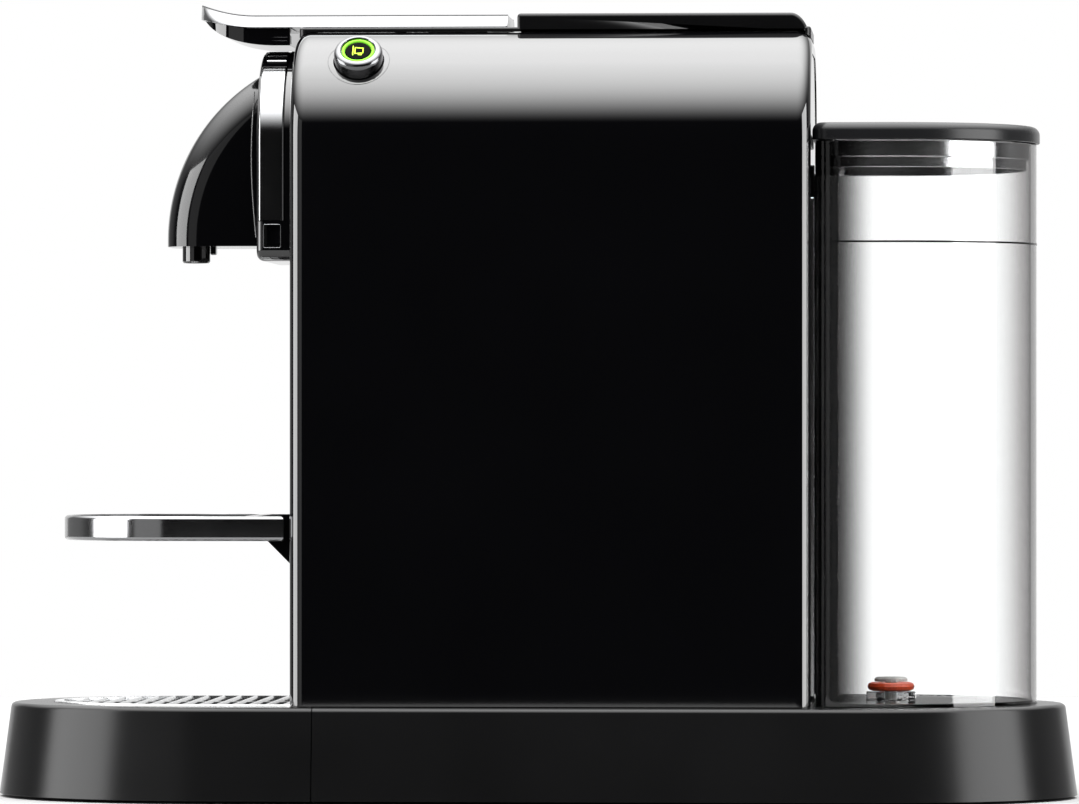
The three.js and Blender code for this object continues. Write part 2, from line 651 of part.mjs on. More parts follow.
function spoutSide(inset) {
  const radius = SPOUT_RADIUS - inset;
  const side = new THREE.Shape();
  side.moveTo(HEAD_FRONT + 60, SPOUT_BOTTOM - 30);
  side.lineTo(SPOUT_CENTRE_X - radius, SPOUT_BOTTOM - 30);
  side.lineTo(SPOUT_CENTRE_X - radius, SPOUT_CENTRE_Z);
  side.absarc(SPOUT_CENTRE_X, SPOUT_CENTRE_Z, radius, Math.PI, Math.PI / 2, true);
  side.lineTo(HEAD_FRONT + 60, SPOUT_CENTRE_Z + radius);
  return side;
}

function makeSpout() {
  const half = SPOUT_WIDTH / 2;
  const rear = ahead(HEAD_FRONT - CLEAR);
  const round = prism(spoutSide(0), "y", -half, half, SPOUT_EDGE, 10);
  const outer = round.intersect(rear).intersect(above(SPOUT_BOTTOM));
  const core = prism(spoutSide(WALL), "y", WALL - half, half - WALL, SPOUT_EDGE - WALL, 10);
  const hollow = core.intersect(above(SPOUT_BOTTOM + WALL));
  const hole = rod("z", NOZZLE_X, 0, NOZZLE_BOTTOM - 30, NOZZLE_BOTTOM + 16, NOZZLE_RADIUS + CLEAR);
  add("spout_housing", "glossBlack", cut(outer, hollow, hole));
  const bore = NOZZLE_RADIUS - 1.4;
  const nozzle = ring(bore, NOZZLE_RADIUS, NOZZLE_BOTTOM, BREW_AXIS - 20, 24);
  add("outlet_nozzle", "satinBlack", nozzle).position.x = NOZZLE_X;
  const along = rod("x", 0, OUTLET_Z, NOZZLE_X - CHANNEL, PIERCE_FRONT - CLEAR, CHANNEL, 16);
  const down = rod("z", NOZZLE_X, 0, BREW_AXIS - 20 + CLEAR, OUTLET_Z, CHANNEL, 16);
  const bores = [
    rod("x", 0, OUTLET_Z, NOZZLE_X, 0, CHANNEL_BORE, 12),
    rod("z", NOZZLE_X, 0, 0, OUTLET_Z, CHANNEL_BORE, 12),
  ];
  add("coffee_channel", "satinBlack", cut(join(along, down), ...bores));
}

// ---------- brewing unit ----------

const UNIT_FRONT = CASING_FRONT + CLEAR + PANEL_THICK + CLEAR;
const PIERCE_FRONT = UNIT_FRONT + 2.5 + CLEAR;
const PIERCE_THICK = 2.4;
const CAGE_FRONT = PIERCE_FRONT + PIERCE_THICK + 0.5;
const CAGE_REAR = CAGE_FRONT + CAGE_LENGTH;
const UNIT_REAR = 9;
const UNIT_BOTTOM = BREW_AXIS - 43;
const UNIT_TOP = CASING_TOP - 3.9;
const pinSwing = CRANK * Math.sin(CRANK_START);
const pinDrop = CRANK * Math.cos(CRANK_START);
const ROCKER_SWING = Math.atan2(pinSwing, ROCKER_DROP - pinDrop); // each way from upright
const CAGE_TRAVEL = 2 * ROCKER_LOW * Math.sin(ROCKER_SWING);
const EAR_X = HINGE_X - CAGE_TRAVEL / 2;
const FEED_RADIUS = 3;
const SLEEVE_RADIUS = 5;
const SLEEVE_REAR = 46;

function makeBrewFrame() {
  const inner = FRAME_HALF - FRAME_PLATE;
  const front = box(UNIT_FRONT, -FRAME_HALF, UNIT_BOTTOM + 14, UNIT_FRONT + 2.5, FRAME_HALF, UNIT_TOP);
  const rear = box(UNIT_REAR - 3, -FRAME_HALF, UNIT_BOTTOM, UNIT_REAR, FRAME_HALF, BREW_AXIS + 14);
  const plates = [-1, 1].map((side) => {
    const [a, b] = side < 0 ? [-FRAME_HALF, -inner] : [inner, FRAME_HALF];
    const outline = polygon(
      [UNIT_FRONT, UNIT_BOTTOM + 14], [UNIT_FRONT + 30, UNIT_BOTTOM], [UNIT_REAR, UNIT_BOTTOM],
      [UNIT_REAR, UNIT_TOP - 18], [UNIT_REAR - 16, UNIT_TOP], [UNIT_FRONT, UNIT_TOP],
    );
    return prism(outline, "y", a, b);
  });
  const sleeve = rod("x", 0, BREW_AXIS, UNIT_REAR - 1, SLEEVE_REAR, SLEEVE_RADIUS, 16);
  const holes = [
    rod("y", HINGE_X, HINGE_Z, -60, 60, HINGE_RADIUS + CLEAR),
    rod("y", HINGE_X, ROCKER_Z, -60, 60, HINGE_RADIUS + CLEAR),
    rod("x", 0, OUTLET_Z, -100, -50, CHANNEL + CLEAR + 1),
    rod("x", 0, BREW_AXIS, 0, 100, FEED_RADIUS + RUN, 16),
  ];
  add("brewing_frame", "satinBlack", cut(join(front, rear, ...plates, sleeve), ...holes));

  const plate = rod("x", 0, BREW_AXIS, PIERCE_FRONT, PIERCE_FRONT + PIERCE_THICK, POD_RADIUS, 24);
  add("piercing_plate", "steel", plate.subtract(rod("x", 0, OUTLET_Z, -100, -50, CHANNEL_BORE, 12)));
  add("lever_pin", "steel", rod("y", HINGE_X, HINGE_Z, 0.5 - FRAME_HALF, FRAME_HALF - 0.5, HINGE_RADIUS));
}

function makeRockers() {
  [-1, 1].forEach((side) => {
    const name = side < 0 ? "right" : "left";
    const group = new THREE.Group();
    group.position.set(HINGE_X, 0, ROCKER_Z);
    group.rotation.y = ROCKER_SWING;
    const outer = ROCKER_Y + ROCKER_THICK;
    const [a, b] = side < 0 ? [-outer, -ROCKER_Y] : [ROCKER_Y, outer];
    const top = 29;
    const blade = prism(rounded(-6.5, -ROCKER_LOW - 4.5, 6.5, top, 4.4), "y", a, b);
    const play = PIN_RADIUS + SLOT_PLAY;
    const fork = box(-play, -60, ROCKER_DROP - CRANK - PIN_RADIUS - 1.2, play, 60, top + 1);
    const [c, d] = side < 0 ? [-ROCKER_Y - 1, EAR_INNER * -1] : [EAR_INNER, ROCKER_Y + 1];
    const pin = rod("y", 0, -ROCKER_LOW, c, d, PIN_RADIUS, 16);
    const [e, f] = side < 0 ? [0.5 - FRAME_HALF, -ROCKER_Y - 1] : [ROCKER_Y + 1, FRAME_HALF - 0.5];
    const trunnion = rod("y", 0, 0, e, f, HINGE_RADIUS);
    const mesh = add("rocker_" + name, "steel", join(blade.subtract(fork), pin, trunnion));
    group.add(mesh);
    machine.add(group);
  });
}

const EAR_INNER = 14.5;
const EAR_THICK = 3;

function makeCage() {
  const shell = rod("x", 0, BREW_AXIS, CAGE_FRONT, CAGE_REAR, CAGE_RADIUS, 24);
  const bowl = rod("x", 0, BREW_AXIS, CAGE_FRONT - 1, CAGE_REAR - 5, CAGE_RADIUS - 2.5, 24);
  const low = ROCKER_Z - ROCKER_LOW - 5;
  const ears = [-1, 1].map((side) => {
    const [a, b] = side < 0 ? [-EAR_INNER - EAR_THICK, -EAR_INNER] : [EAR_INNER, EAR_INNER + EAR_THICK];
    const outline = polygon(
      [CAGE_REAR - 4, BREW_AXIS - 14], [CAGE_REAR - 4, BREW_AXIS + 6], [CAGE_REAR + 2, BREW_AXIS + 6],
      [EAR_X + 7, BREW_AXIS - 12], [EAR_X + 7, low], [EAR_X - 7, low], [EAR_X - 7, BREW_AXIS - 14],
    );
    return prism(outline, "y", a, b);
  });
  const tie = EAR_INNER + 1;
  const bridge = box(CAGE_REAR - 4, -tie, BREW_AXIS - 14, CAGE_REAR, tie, BREW_AXIS + 6);
  const play = PIN_RADIUS + 0.7;
  const slotZ = ROCKER_Z - ROCKER_LOW;
  const slot = prism(
    rounded(EAR_X - play, slotZ - play, EAR_X + play, slotZ + 3 + play, play - 0.1),
    "y", -60, 60,
  );
  const feed = rod("x", 0, BREW_AXIS, CAGE_REAR - 1, UNIT_REAR + 7, FEED_RADIUS, 16);
  const bore = rod("x", 0, BREW_AXIS, -100, 100, 1.6, 12);
  add("pod_cage", "aluminium", cut(join(cut(shell, bowl), ...ears, bridge, feed), slot, bore));
}

// ---------- lever ----------

const LEVER_TOP = LEVER_UNDER + LEVER_THICK;
const LEVER_BEND = -96;
const TIP_RISE = 5.1;
const GRIP_BOTTOM = HEAD_TOP + 1.2;
const GRIP_INSET = 0.8;
const HUB_RADIUS = 6;
const GRIP_REAR = CASING_FRONT - 2.6;

function leverPlan(inset) {
  const half = LEVER_WIDTH / 2 - inset;
  const plan = new THREE.Shape();
  plan.moveTo(LEVER_REAR, -half);
  plan.lineTo(LEVER_REAR, half);
  plan.lineTo(LEVER_BEND, half);
  plan.bezierCurveTo(LEVER_BEND - 10, half, LEVER_TIP + inset, half - 3, LEVER_TIP + inset, 0);
  plan.bezierCurveTo(LEVER_TIP + inset, 3 - half, LEVER_BEND - 10, -half, LEVER_BEND, -half);
  return plan;
}

function makeLever() {
  const tipTop = LEVER_TOP + TIP_RISE;
  const side = new THREE.Shape();
  side.moveTo(LEVER_REAR, LEVER_UNDER);
  side.lineTo(LEVER_REAR, LEVER_TOP);
  side.lineTo(LEVER_BEND, LEVER_TOP);
  side.quadraticCurveTo(LEVER_BEND - 10, LEVER_TOP, LEVER_TIP - 1, tipTop);
  side.lineTo(LEVER_TIP - 1, tipTop - 5);
  side.quadraticCurveTo(LEVER_BEND - 9, LEVER_UNDER, LEVER_BEND, LEVER_UNDER);
  const bar = prism(side, "y", -LEVER_WIDTH / 2, LEVER_WIDTH / 2, 0, 6);
  const barPlan = prism(leverPlan(0), "z", LEVER_UNDER - 50, LEVER_UNDER + 50, 0, 6);
  add("lever_top", "chrome", bar.intersect(barPlan));

  const grip = new THREE.Shape();
  grip.moveTo(GRIP_REAR, LEVER_UNDER - CLEAR);
  grip.lineTo(GRIP_REAR, GRIP_BOTTOM);
  grip.lineTo(LEVER_BEND + 6, GRIP_BOTTOM);
  grip.quadraticCurveTo(LEVER_BEND - 11, GRIP_BOTTOM + 0.5, LEVER_TIP + 2.4, tipTop - 6.2);
  grip.lineTo(LEVER_TIP + 3, tipTop - 5.2);
  grip.quadraticCurveTo(LEVER_BEND - 8.6, LEVER_UNDER - CLEAR, LEVER_BEND, LEVER_UNDER - CLEAR);
  const pad = prism(grip, "y", -LEVER_WIDTH / 2, LEVER_WIDTH / 2, 0, 6);
  const padPlan = prism(leverPlan(GRIP_INSET), "z", LEVER_UNDER - 50, LEVER_UNDER + 50, 0, 6);
  const wideBar = prism(side, "y", -LEVER_WIDTH, LEVER_WIDTH, 0, 6);
  add("lever_grip", "glossBlack", pad.intersect(padPlan).subtract(wideBar));

  const arms = [-1, 1].map((s) => {
    const [a, b] = s < 0 ? [-EAR_INNER - EAR_THICK, -EAR_INNER] : [EAR_INNER, EAR_INNER + EAR_THICK];
    const reach = ROCKER_Y + ROCKER_THICK + 0.5;
    const [c, d] = s < 0 ? [-reach, -EAR_INNER] : [EAR_INNER, reach];
    const hub = rod("y", HINGE_X, HINGE_Z, a, b, HUB_RADIUS);
    const pinX = HINGE_X + pinSwing;
    const pinZ = HINGE_Z - pinDrop;
    const outline = polygon(
      [pinX - 3, pinZ - 3], [pinX + 4, pinZ + 1],
      [HINGE_X + HUB_RADIUS, HINGE_Z], [HINGE_X - 4, HINGE_Z - 4],
    );
    const web = prism(outline, "y", a, b);
    const eye = rod("y", pinX, pinZ, a, b, PIN_RADIUS + 2.2, 16);
    const rise = box(HINGE_X - HUB_RADIUS, a, HINGE_Z, HINGE_X + HUB_RADIUS, b, LEVER_UNDER - CLEAR);
    return join(hub, web, eye, rise, rod("y", pinX, pinZ, c, d, PIN_RADIUS, 16));
  });
  const top = LEVER_UNDER - CLEAR;
  const bridge = box(HINGE_X - 12, -EAR_INNER - EAR_THICK, top - 3, HINGE_X + 8, EAR_INNER + EAR_THICK, top);
  const bore = rod("y", HINGE_X, HINGE_Z, -60, 60, HINGE_RADIUS + CLEAR);
  add("lever_crank", "steel", join(...arms, bridge).subtract(bore));
}

// ---------- buttons ----------

const CAP_LOW = -4.4;
const STEM_LOW = -9;

function makeButtons() {
  [-1, 1].forEach((side) => {
    const name = side < 0 ? "right" : "left";
    const place = buttonPlace(side);
    const face = BUTTON_PROUD - 2.2;
    const rim = LIGHT_OUTER + CLEAR;
    const cap = turned([
      [0, STEM_LOW], [2, STEM_LOW], [2, CAP_LOW - 1.2], [BUTTON_RADIUS + 1.3, CAP_LOW - 1.2],
      [BUTTON_RADIUS + 1.3, CAP_LOW], [BUTTON_RADIUS, CAP_LOW], [BUTTON_RADIUS, BUTTON_PROUD - 2],
      [BUTTON_RADIUS - 0.3, BUTTON_PROUD - 0.9], [BUTTON_RADIUS - 1, BUTTON_PROUD - 0.2],
      [BUTTON_RADIUS - 1.6, BUTTON_PROUD], [rim, BUTTON_PROUD - 0.2], [rim, face], [0, face],
    ], 20);
    const lamp = ring(LIGHT_INNER + CLEAR, LIGHT_OUTER, face + CLEAR, BUTTON_PROUD - 0.5, 20);
    const disc = turned([
      [0, face + CLEAR], [LIGHT_INNER, face + CLEAR], [LIGHT_INNER, BUTTON_PROUD - 0.8],
      [0, BUTTON_PROUD - 0.6],
    ], 20);
    place.add(add("button_" + name, "chrome", cap));
    place.add(add("button_light_" + name, "light", lamp));
    place.add(add("button_disc_" + name, "glossBlack", disc));
    const top = STEM_LOW - BUTTON_TRAVEL - CLEAR;
    const body = join(box(-3.2, -3.2, top - 5, 3.2, 3.2, top - 1), rod("z", 0, 0, top - 2, top, 1.5, 12));
    place.add(add("button_switch_" + name, "darkGrey", body));
    machine.add(place);
  });
}

// ---------- water tank ----------

const TANK_FLOOR = 2.5;
const SPIGOT_RADIUS = 5.2;
const SPIGOT_BORE = 3.7;
const SPIGOT_DEPTH = 4.5;
const STEM_RADIUS = 2;
const STEM_BOTTOM = BASE_TOP + 0.4; // the stem ends inside the spigot, above the deck
const LID_OVER = 1.1; // the lid stands out past the tank

function makeTank() {
  const wallTop = TANK_TOP - CLEAR;
  const inside = TANK_BOTTOM + TANK_FLOOR;
  const body = prism(tankPlan(0), "z", TANK_BOTTOM, wallTop, 0, 10);
  const hollow = prism(tankPlan(TANK_WALL), "z", inside, wallTop + 1, 0, 10);
  const collar = rod("z", OUTLET_X, 0, inside - 0.5, COLLAR_TOP, COLLAR_RADIUS, 24);
  const spigot = rod("z", OUTLET_X, 0, TANK_BOTTOM - SPIGOT_DEPTH, TANK_BOTTOM + 1, SPIGOT_RADIUS, 24);
  const bore = rod("z", OUTLET_X, 0, 0, COLLAR_TOP + 1, SPIGOT_BORE, 24);
  add("tank_body", "clear", cut(join(cut(body, hollow), collar, spigot), bore));

  const sealLow = COLLAR_TOP + CLEAR;
  const capLow = sealLow + SEAL_THICK + CLEAR;
  const fat = SEAL_THICK / 2;
  const middle = COLLAR_RADIUS - 0.4 - fat;
  const torus = new THREE.TorusGeometry(middle, fat, 8, 24);
  torus.translate(OUTLET_X, 0, sealLow + fat);
  add("valve_seal", "seal", solidOf(torus));
  const stem = rod("z", 0, 0, STEM_BOTTOM, capLow + 1, STEM_RADIUS, 16);
  const cap = turned([
    [0, capLow], [VALVE_CAP_RADIUS, capLow], [VALVE_CAP_RADIUS, capLow + 0.9],
    [VALVE_CAP_RADIUS - 0.7, capLow + 1.5], [0, capLow + 1.5],
  ], 20);
  add("valve_stem", "white", join(stem, cap)).position.x = OUTLET_X;

  const lidLow = TANK_TOP;
  const lid = prism(tankPlan(-LID_OVER), "z", lidLow - 4, lidLow + LID_THICK, 2.5, 10);
  add("tank_lid", "satinBlack", lid.intersect(above(lidLow)));
  const fit = TANK_WALL + RUN;
  const skirt = prism(tankPlan(fit), "z", TANK_TOP - SKIRT_HEIGHT, wallTop, 0, 10);
  add("lid_skirt", "silver", skirt.subtract(prism(tankPlan(fit + 1.8), "z", 0, SPAN, 0, 10)));
}

// ---------- water and electric parts inside ----------

const CHASSIS_HALF = 45;
const CHASSIS_WALL = 3;
const SHELF = 145;
const INSIDE_FRONT = 12;
const INSIDE_REAR = 88;
const PUMP_Z = 92;
const PUMP_FRONT = 2;
const PUMP_REAR = 70;
const PUMP_NECK = 12;
const PUMP_MOUNT = 16;
const PUMP_MOUNTS = { front: PUMP_FRONT + 6, rear: PUMP_REAR - 12 };
const METER_X = 76;
const METER_RADIUS = 12;
const NIPPLE = 2.5;
const BOILER = [20, -28, SHELF + CHASSIS_WALL + CLEAR, 80, 28, SHELF + 38];
const BOILER_INLET_Z = SHELF + 17;

function makeConnector() {
  const low = 16;
  const top = BASE_TOP - TANK_WELL - 0.4;
  const cup = rod("z", OUTLET_X, 0, low, top, CONNECTOR_RADIUS, 24);
  const well = rod("z", OUTLET_X, 0, low + 4, top + 1, 9, 24);
  const nipple = rod("x", 0, low + 5, OUTLET_X - CONNECTOR_RADIUS - 6, OUTLET_X - 8, NIPPLE, 12);
  const bore = rod("x", 0, low + 5, OUTLET_X - 30, OUTLET_X, 1.4, 10);
  const opener = rod("z", OUTLET_X, 0, low + 3, STEM_BOTTOM - RUN, 1.2, 12);
  add("tank_connector", "satinBlack", join(cut(join(cup, nipple), well, bore), opener));
  const seal = ring(SPIGOT_RADIUS + CLEAR, 8.7, TANK_BOTTOM - SPIGOT_DEPTH + 0.4, TANK_BOTTOM - 1, 20);
  add("connector_seal", "rubber", seal).position.x = OUTLET_X;
}

function makeWaterPath() {
  const meter = join(
    rod("z", METER_X, 0, 6, 20, METER_RADIUS, 20),
    rod("x", 0, 15, METER_X - METER_RADIUS - 5, METER_X + METER_RADIUS + 5, NIPPLE, 12),
  );
  add("flow_meter", "white", meter);
  const meterEnd = METER_X + METER_RADIUS + 5 + CLEAR;
  const nippleEnd = OUTLET_X - CONNECTOR_RADIUS - 6 - CLEAR;
  const supply = [[nippleEnd, 0, 21], [nippleEnd - 2.5, 0, 21], [meterEnd + 2.5, 0, 15], [meterEnd, 0, 15]];
  add("hose_tank", "silicone", tube(supply, HOSE_RADIUS, 8));

  const bodyFront = PUMP_FRONT + 20;
  const bodyRear = PUMP_REAR - 20;
  const pump = join(
    rod("x", 0, PUMP_Z, PUMP_FRONT, PUMP_REAR, PUMP_NECK, 20),
    prism(rounded(-20, PUMP_Z - 20, 20, PUMP_Z + 20, 3), "x", bodyFront, bodyRear),
    rod("x", 0, PUMP_Z, PUMP_FRONT - 4, PUMP_REAR + 4, NIPPLE, 12),
  );
  add("pump", "darkGrey", pump);
  for (const [name, x] of Object.entries(PUMP_MOUNTS)) {
    const sleeve = ring(PUMP_NECK + CLEAR, PUMP_MOUNT, 0, 6, 20);
    const mesh = add("pump_mount_" + name, "rubber", sleeve);
    mesh.position.set(x, 0, PUMP_Z);
    mesh.rotation.y = Math.PI / 2;
  }

  const suction = [
    [METER_X - METER_RADIUS - 5 - CLEAR, 0, 15], [54, 0, 15], [48, -10, 14], [44, -24, 17], [44, -30, 26],
    [44, -30, 40], [45, -32, 52], [54, -34, 68], [70, -31, 82], [82, -20, 90], [85, -8, PUMP_Z],
    [80, -0.5, PUMP_Z], [PUMP_REAR + 4 + CLEAR, 0, PUMP_Z],
  ];
  add("hose_suction", "silicone", tube(suction, HOSE_RADIUS, 36));
  const [bx, , bz, ex, , ez] = BOILER;
  const pressure = [
    [PUMP_FRONT - 4 - CLEAR, 0, PUMP_Z], [-7, 0.3, PUMP_Z], [-11.5, 3, 95], [-12.5, 8, 104], [-10, 13, 120],
    [-4, 15, 140], [2, 13, 156], [9, 12, BOILER_INLET_Z], [bx - 4 - CLEAR, 12, BOILER_INLET_Z],
  ];
  add("hose_pressure", "silicone", tube(pressure, HOSE_RADIUS, 22));
  const block = prism(rounded(BOILER[1], bz, BOILER[4], ez, 6), "x", bx, ex);
  const inlet = rod("x", 12, BOILER_INLET_Z, bx - 4, bx + 3, NIPPLE, 12);
  const outlet = rod("z", ex - 10, 0, ez - 3, ez + 4, NIPPLE, 12);
  add("thermoblock", "aluminium", join(block, inlet, outlet));
  const hot = [
    [ex - 10, 0, ez + 4 + CLEAR], [ex - 9, 0, ez + 14], [ex - 13, 0, BREW_AXIS - 9],
    [ex - 22, 0, BREW_AXIS - 1], [SLEEVE_REAR + CLEAR, 0, BREW_AXIS],
  ];
  add("hose_hot", "silicone", tube(hot, HOSE_RADIUS, 20));
  const side = BOILER[1] - CLEAR;
  add("thermostat", "steel", rod("y", 38, (bz + ez) / 2, side - 6, side, 8, 24));
}

function makeElectrics() {
  const low = BASE_TOP + 2 * CLEAR;
  const inner = CHASSIS_HALF - CHASSIS_WALL;
  const wall = rounded(-CHASSIS_HALF, low - 20, CHASSIS_HALF, SHELF + CHASSIS_WALL, 5);
  const chassis = prism(wall, "x", INSIDE_FRONT, INSIDE_REAR);
  const room = prism(rounded(-inner, low - 20, inner, SHELF, 2), "x", INSIDE_FRONT - 1, INSIDE_REAR + 1);
  const floor = box(PUMP_FRONT + 4, -CHASSIS_HALF, low, PUMP_REAR - 4, CHASSIS_HALF, low + 3);
  const posts = Object.values(PUMP_MOUNTS).map((x) => box(x + 1, -22, low, x + 5, 22, PUMP_Z));
  const notch = rod("x", 0, PUMP_Z, -20, 100, PUMP_MOUNT + CLEAR, 20);
  const hatch = box(36, -40, 0, 52, -24, low + 4);
  const cradle = cut(join(floor, ...posts), notch, hatch);
  add("chassis", "satinBlack", join(chassis.subtract(room), cradle).intersect(above(low)));
  add("main_board", "board", box(18, inner - 5, 50, 82, inner - 3.4, 132));
  const face = inner - 5 - CLEAR;
  add("transformer", "brass", prism(rounded(24, 104, 48, 126, 2), "y", face - 11, face));
  const gland = ring(3.6, INLET_RADIUS, 0, 6, 20);
  const collar = ring(3.6, INLET_RADIUS + 2, 0, 1.8, 20);
  const inlet = add("cable_inlet", "rubber", join(gland, collar));
  inlet.position.set(INLET_X, HALF_WIDTH - WALL - 5.5, INLET_Z);
  inlet.rotation.x = -Math.PI / 2;
}

makeBase();
makeFeet();
makeTray();
makeContainer();
makeSupport();
makeCasing();
makeTopCover();
makeHead();
makeSpout();
makeBrewFrame();
makeRockers();
makeCage();
makeLever();
makeButtons();
makeTank();
makeConnector();
makeWaterPath();
makeElectrics();

export default machine;
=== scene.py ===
import json
import math

import bmesh
import bpy
from mathutils import Matrix, Vector

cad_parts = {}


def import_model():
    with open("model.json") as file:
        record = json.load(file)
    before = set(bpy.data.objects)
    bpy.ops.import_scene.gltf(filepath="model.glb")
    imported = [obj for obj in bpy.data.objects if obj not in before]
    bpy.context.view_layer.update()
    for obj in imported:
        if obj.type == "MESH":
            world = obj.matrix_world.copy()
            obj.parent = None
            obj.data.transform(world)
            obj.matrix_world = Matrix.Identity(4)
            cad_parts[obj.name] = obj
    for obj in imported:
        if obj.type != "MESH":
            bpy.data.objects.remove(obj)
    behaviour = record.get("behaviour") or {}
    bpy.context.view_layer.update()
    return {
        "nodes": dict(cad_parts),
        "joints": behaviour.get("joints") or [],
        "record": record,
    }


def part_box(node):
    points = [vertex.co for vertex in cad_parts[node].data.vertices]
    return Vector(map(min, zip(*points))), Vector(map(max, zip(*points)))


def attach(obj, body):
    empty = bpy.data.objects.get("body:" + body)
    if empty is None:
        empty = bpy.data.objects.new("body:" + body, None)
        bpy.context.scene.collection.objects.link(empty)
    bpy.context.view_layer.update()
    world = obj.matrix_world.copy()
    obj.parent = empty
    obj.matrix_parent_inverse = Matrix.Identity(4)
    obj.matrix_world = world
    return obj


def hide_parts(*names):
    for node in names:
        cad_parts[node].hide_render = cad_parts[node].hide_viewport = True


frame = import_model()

MM = 0.001
QUARTER = math.pi / 2
scene = bpy.context.scene
nodes = frame["nodes"]


# ---------- camera ----------

IMAGE_WIDTH = 1079
FOCAL_PIXELS = 7536  # focal length in pixels: one pixel is 0.345 mm at the machine
CAMERA_DISTANCE = 2.6
CAMERA_TURN = math.radians(3.3)  # the camera stands a little towards the tank
CAMERA_HEIGHT = 0.1246
CAMERA_REACH = 30
SHIFT_PIXELS = (2.5, 33)
SENSOR = 36


def make_camera():
    data = bpy.data.cameras.new("camera")
    data.sensor_width = SENSOR
    data.lens = FOCAL_PIXELS / IMAGE_WIDTH * SENSOR
    data.shift_x, data.shift_y = (shift / IMAGE_WIDTH for shift in SHIFT_PIXELS)
    data.clip_end = CAMERA_REACH
    camera = bpy.data.objects.new("camera", data)
    side = Vector((math.sin(CAMERA_TURN), -math.cos(CAMERA_TURN), 0))
    camera.location = side * CAMERA_DISTANCE + Vector((0, 0, CAMERA_HEIGHT))
    camera.rotation_euler = (QUARTER, 0, CAMERA_TURN)
    scene.collection.objects.link(camera)
    scene.camera = camera


make_camera()


# ---------- materials ----------


def add_node(tree, kind, inputs=(), **settings):
    """A new node; each input is a value or another node's output."""
    node = tree.nodes.new(kind)
    for key, value in settings.items():
        setattr(node, key, value)
    for key, value in dict(inputs).items():
        connect(tree, node.inputs[key], value)
    return node


def connect(tree, socket, value):
    if isinstance(value, bpy.types.NodeSocket):
        tree.links.new(value, socket)
    else:
        socket.default_value = value


FINISH = {}  # the materials made here, by the names they are asked for


class Nodes:
    """A new node material and short ways to add to it."""

    def __init__(self, name):
        self.material = bpy.data.materials.new(name)
        FINISH[name] = self.material
        self.material.use_nodes = True
        self.tree = self.material.node_tree
        self.shader = next(n for n in self.tree.nodes if n.type == "BSDF_PRINCIPLED")

    def add(self, kind, inputs=(), **settings):
        return add_node(self.tree, kind, inputs, **settings)

    def set(self, **values):
        for key, value in values.items():
            connect(self.tree, self.shader.inputs[key.replace("_", " ")], value)

    def place(self, stretch=(1, 1, 1)):
        where = self.add("ShaderNodeTexCoord").outputs["Object"]
        return self.add("ShaderNodeMapping", {"Vector": where, "Scale": stretch}).outputs["Vector"]

    def noise(self, scale, detail=3, stretch=(1, 1, 1)):
        inputs = {"Vector": self.place(stretch), "Scale": scale, "Detail": detail}
        return self.add("ShaderNodeTexNoise", inputs).outputs["Fac"]

    def spread(self, factor, low, high):
        inputs = {"Value": factor, "From Min": 0.25, "From Max": 0.75, "To Min": low, "To Max": high}
        return self.add("ShaderNodeMapRange", inputs).outputs["Result"]

    def ramp(self, value, start, end):
        """Goes softly from 0 to 1 as value goes from start to end."""
        inputs = {"Value": value, "From Min": start, "From Max": end}
        return self.add("ShaderNodeMapRange", inputs, interpolation_type="SMOOTHSTEP").outputs["Result"]

    def mix(self, factor, low, high):
        inputs = {"Factor": factor}
        for key, color in (("A", low), ("B", high)):
            inputs[key] = color if isinstance(color, bpy.types.NodeSocket) else (*color, 1)
        return self.add("ShaderNodeMix", inputs, data_type="RGBA").outputs["Result"]

    def bump(self, height, distance):
        inputs = {"Height": height, "Distance": distance, "Strength": 1.0}
        return self.add("ShaderNodeBump", inputs).outputs["Normal"]


PLASTIC_IOR = 1.5
COAT_IOR = 1.65


def plastic(name, color, rough, spread, grain_scale, grain, coat=0.0, coat_rough=0.03, shine=0.5):
    """Moulded plastic: slight colour and roughness variation, and a fine moulded grain."""
    n = Nodes(name)
    broad = n.noise(18)
    fine = n.noise(grain_scale, 2)
    lighter = tuple(min(1, c * 1.25 + 0.0004) for c in color)
    n.set(Base_Color=n.mix(broad, color, lighter))
    n.set(Roughness=n.spread(broad, rough - spread, rough + spread))
    n.set(Normal=n.bump(fine, grain))
    n.set(Coat_Weight=coat, Coat_Roughness=coat_rough, Coat_IOR=COAT_IOR)
    n.set(IOR=PLASTIC_IOR, Specular_IOR_Level=shine)
    return n.material


def metal(name, color, rough, spread, stretch=(1, 1, 1), scale=60, grain=0.0):
    """Metal with streaks of slightly darker colour and changing roughness."""
    n = Nodes(name)
    streak = n.noise(scale, 4, stretch)
    darker = tuple(c * 0.93 for c in color)
    n.set(Base_Color=n.mix(streak, darker, color), Metallic=1.0)
    n.set(Roughness=n.spread(streak, rough - spread, rough + spread))
    if grain:
        n.set(Normal=n.bump(streak, grain))
    return n.material


# painted shade: the tank's colour is darkened where the casing's shade shows through it
PAINTED_SHADE = (0.1, 0.1, 0.1)
PAINTED_SHADE_ENDS = (0.1, 0.1175)  # metres along X between which the painted shade fades out
# painted shade: the tank's colour is greyed at its rear end, where its curved wall looks darker
REAR_PAINTED_SHADE = (0.6, 0.59, 0.59)
REAR_SHADE_ENDS = (0.158, 0.1715)


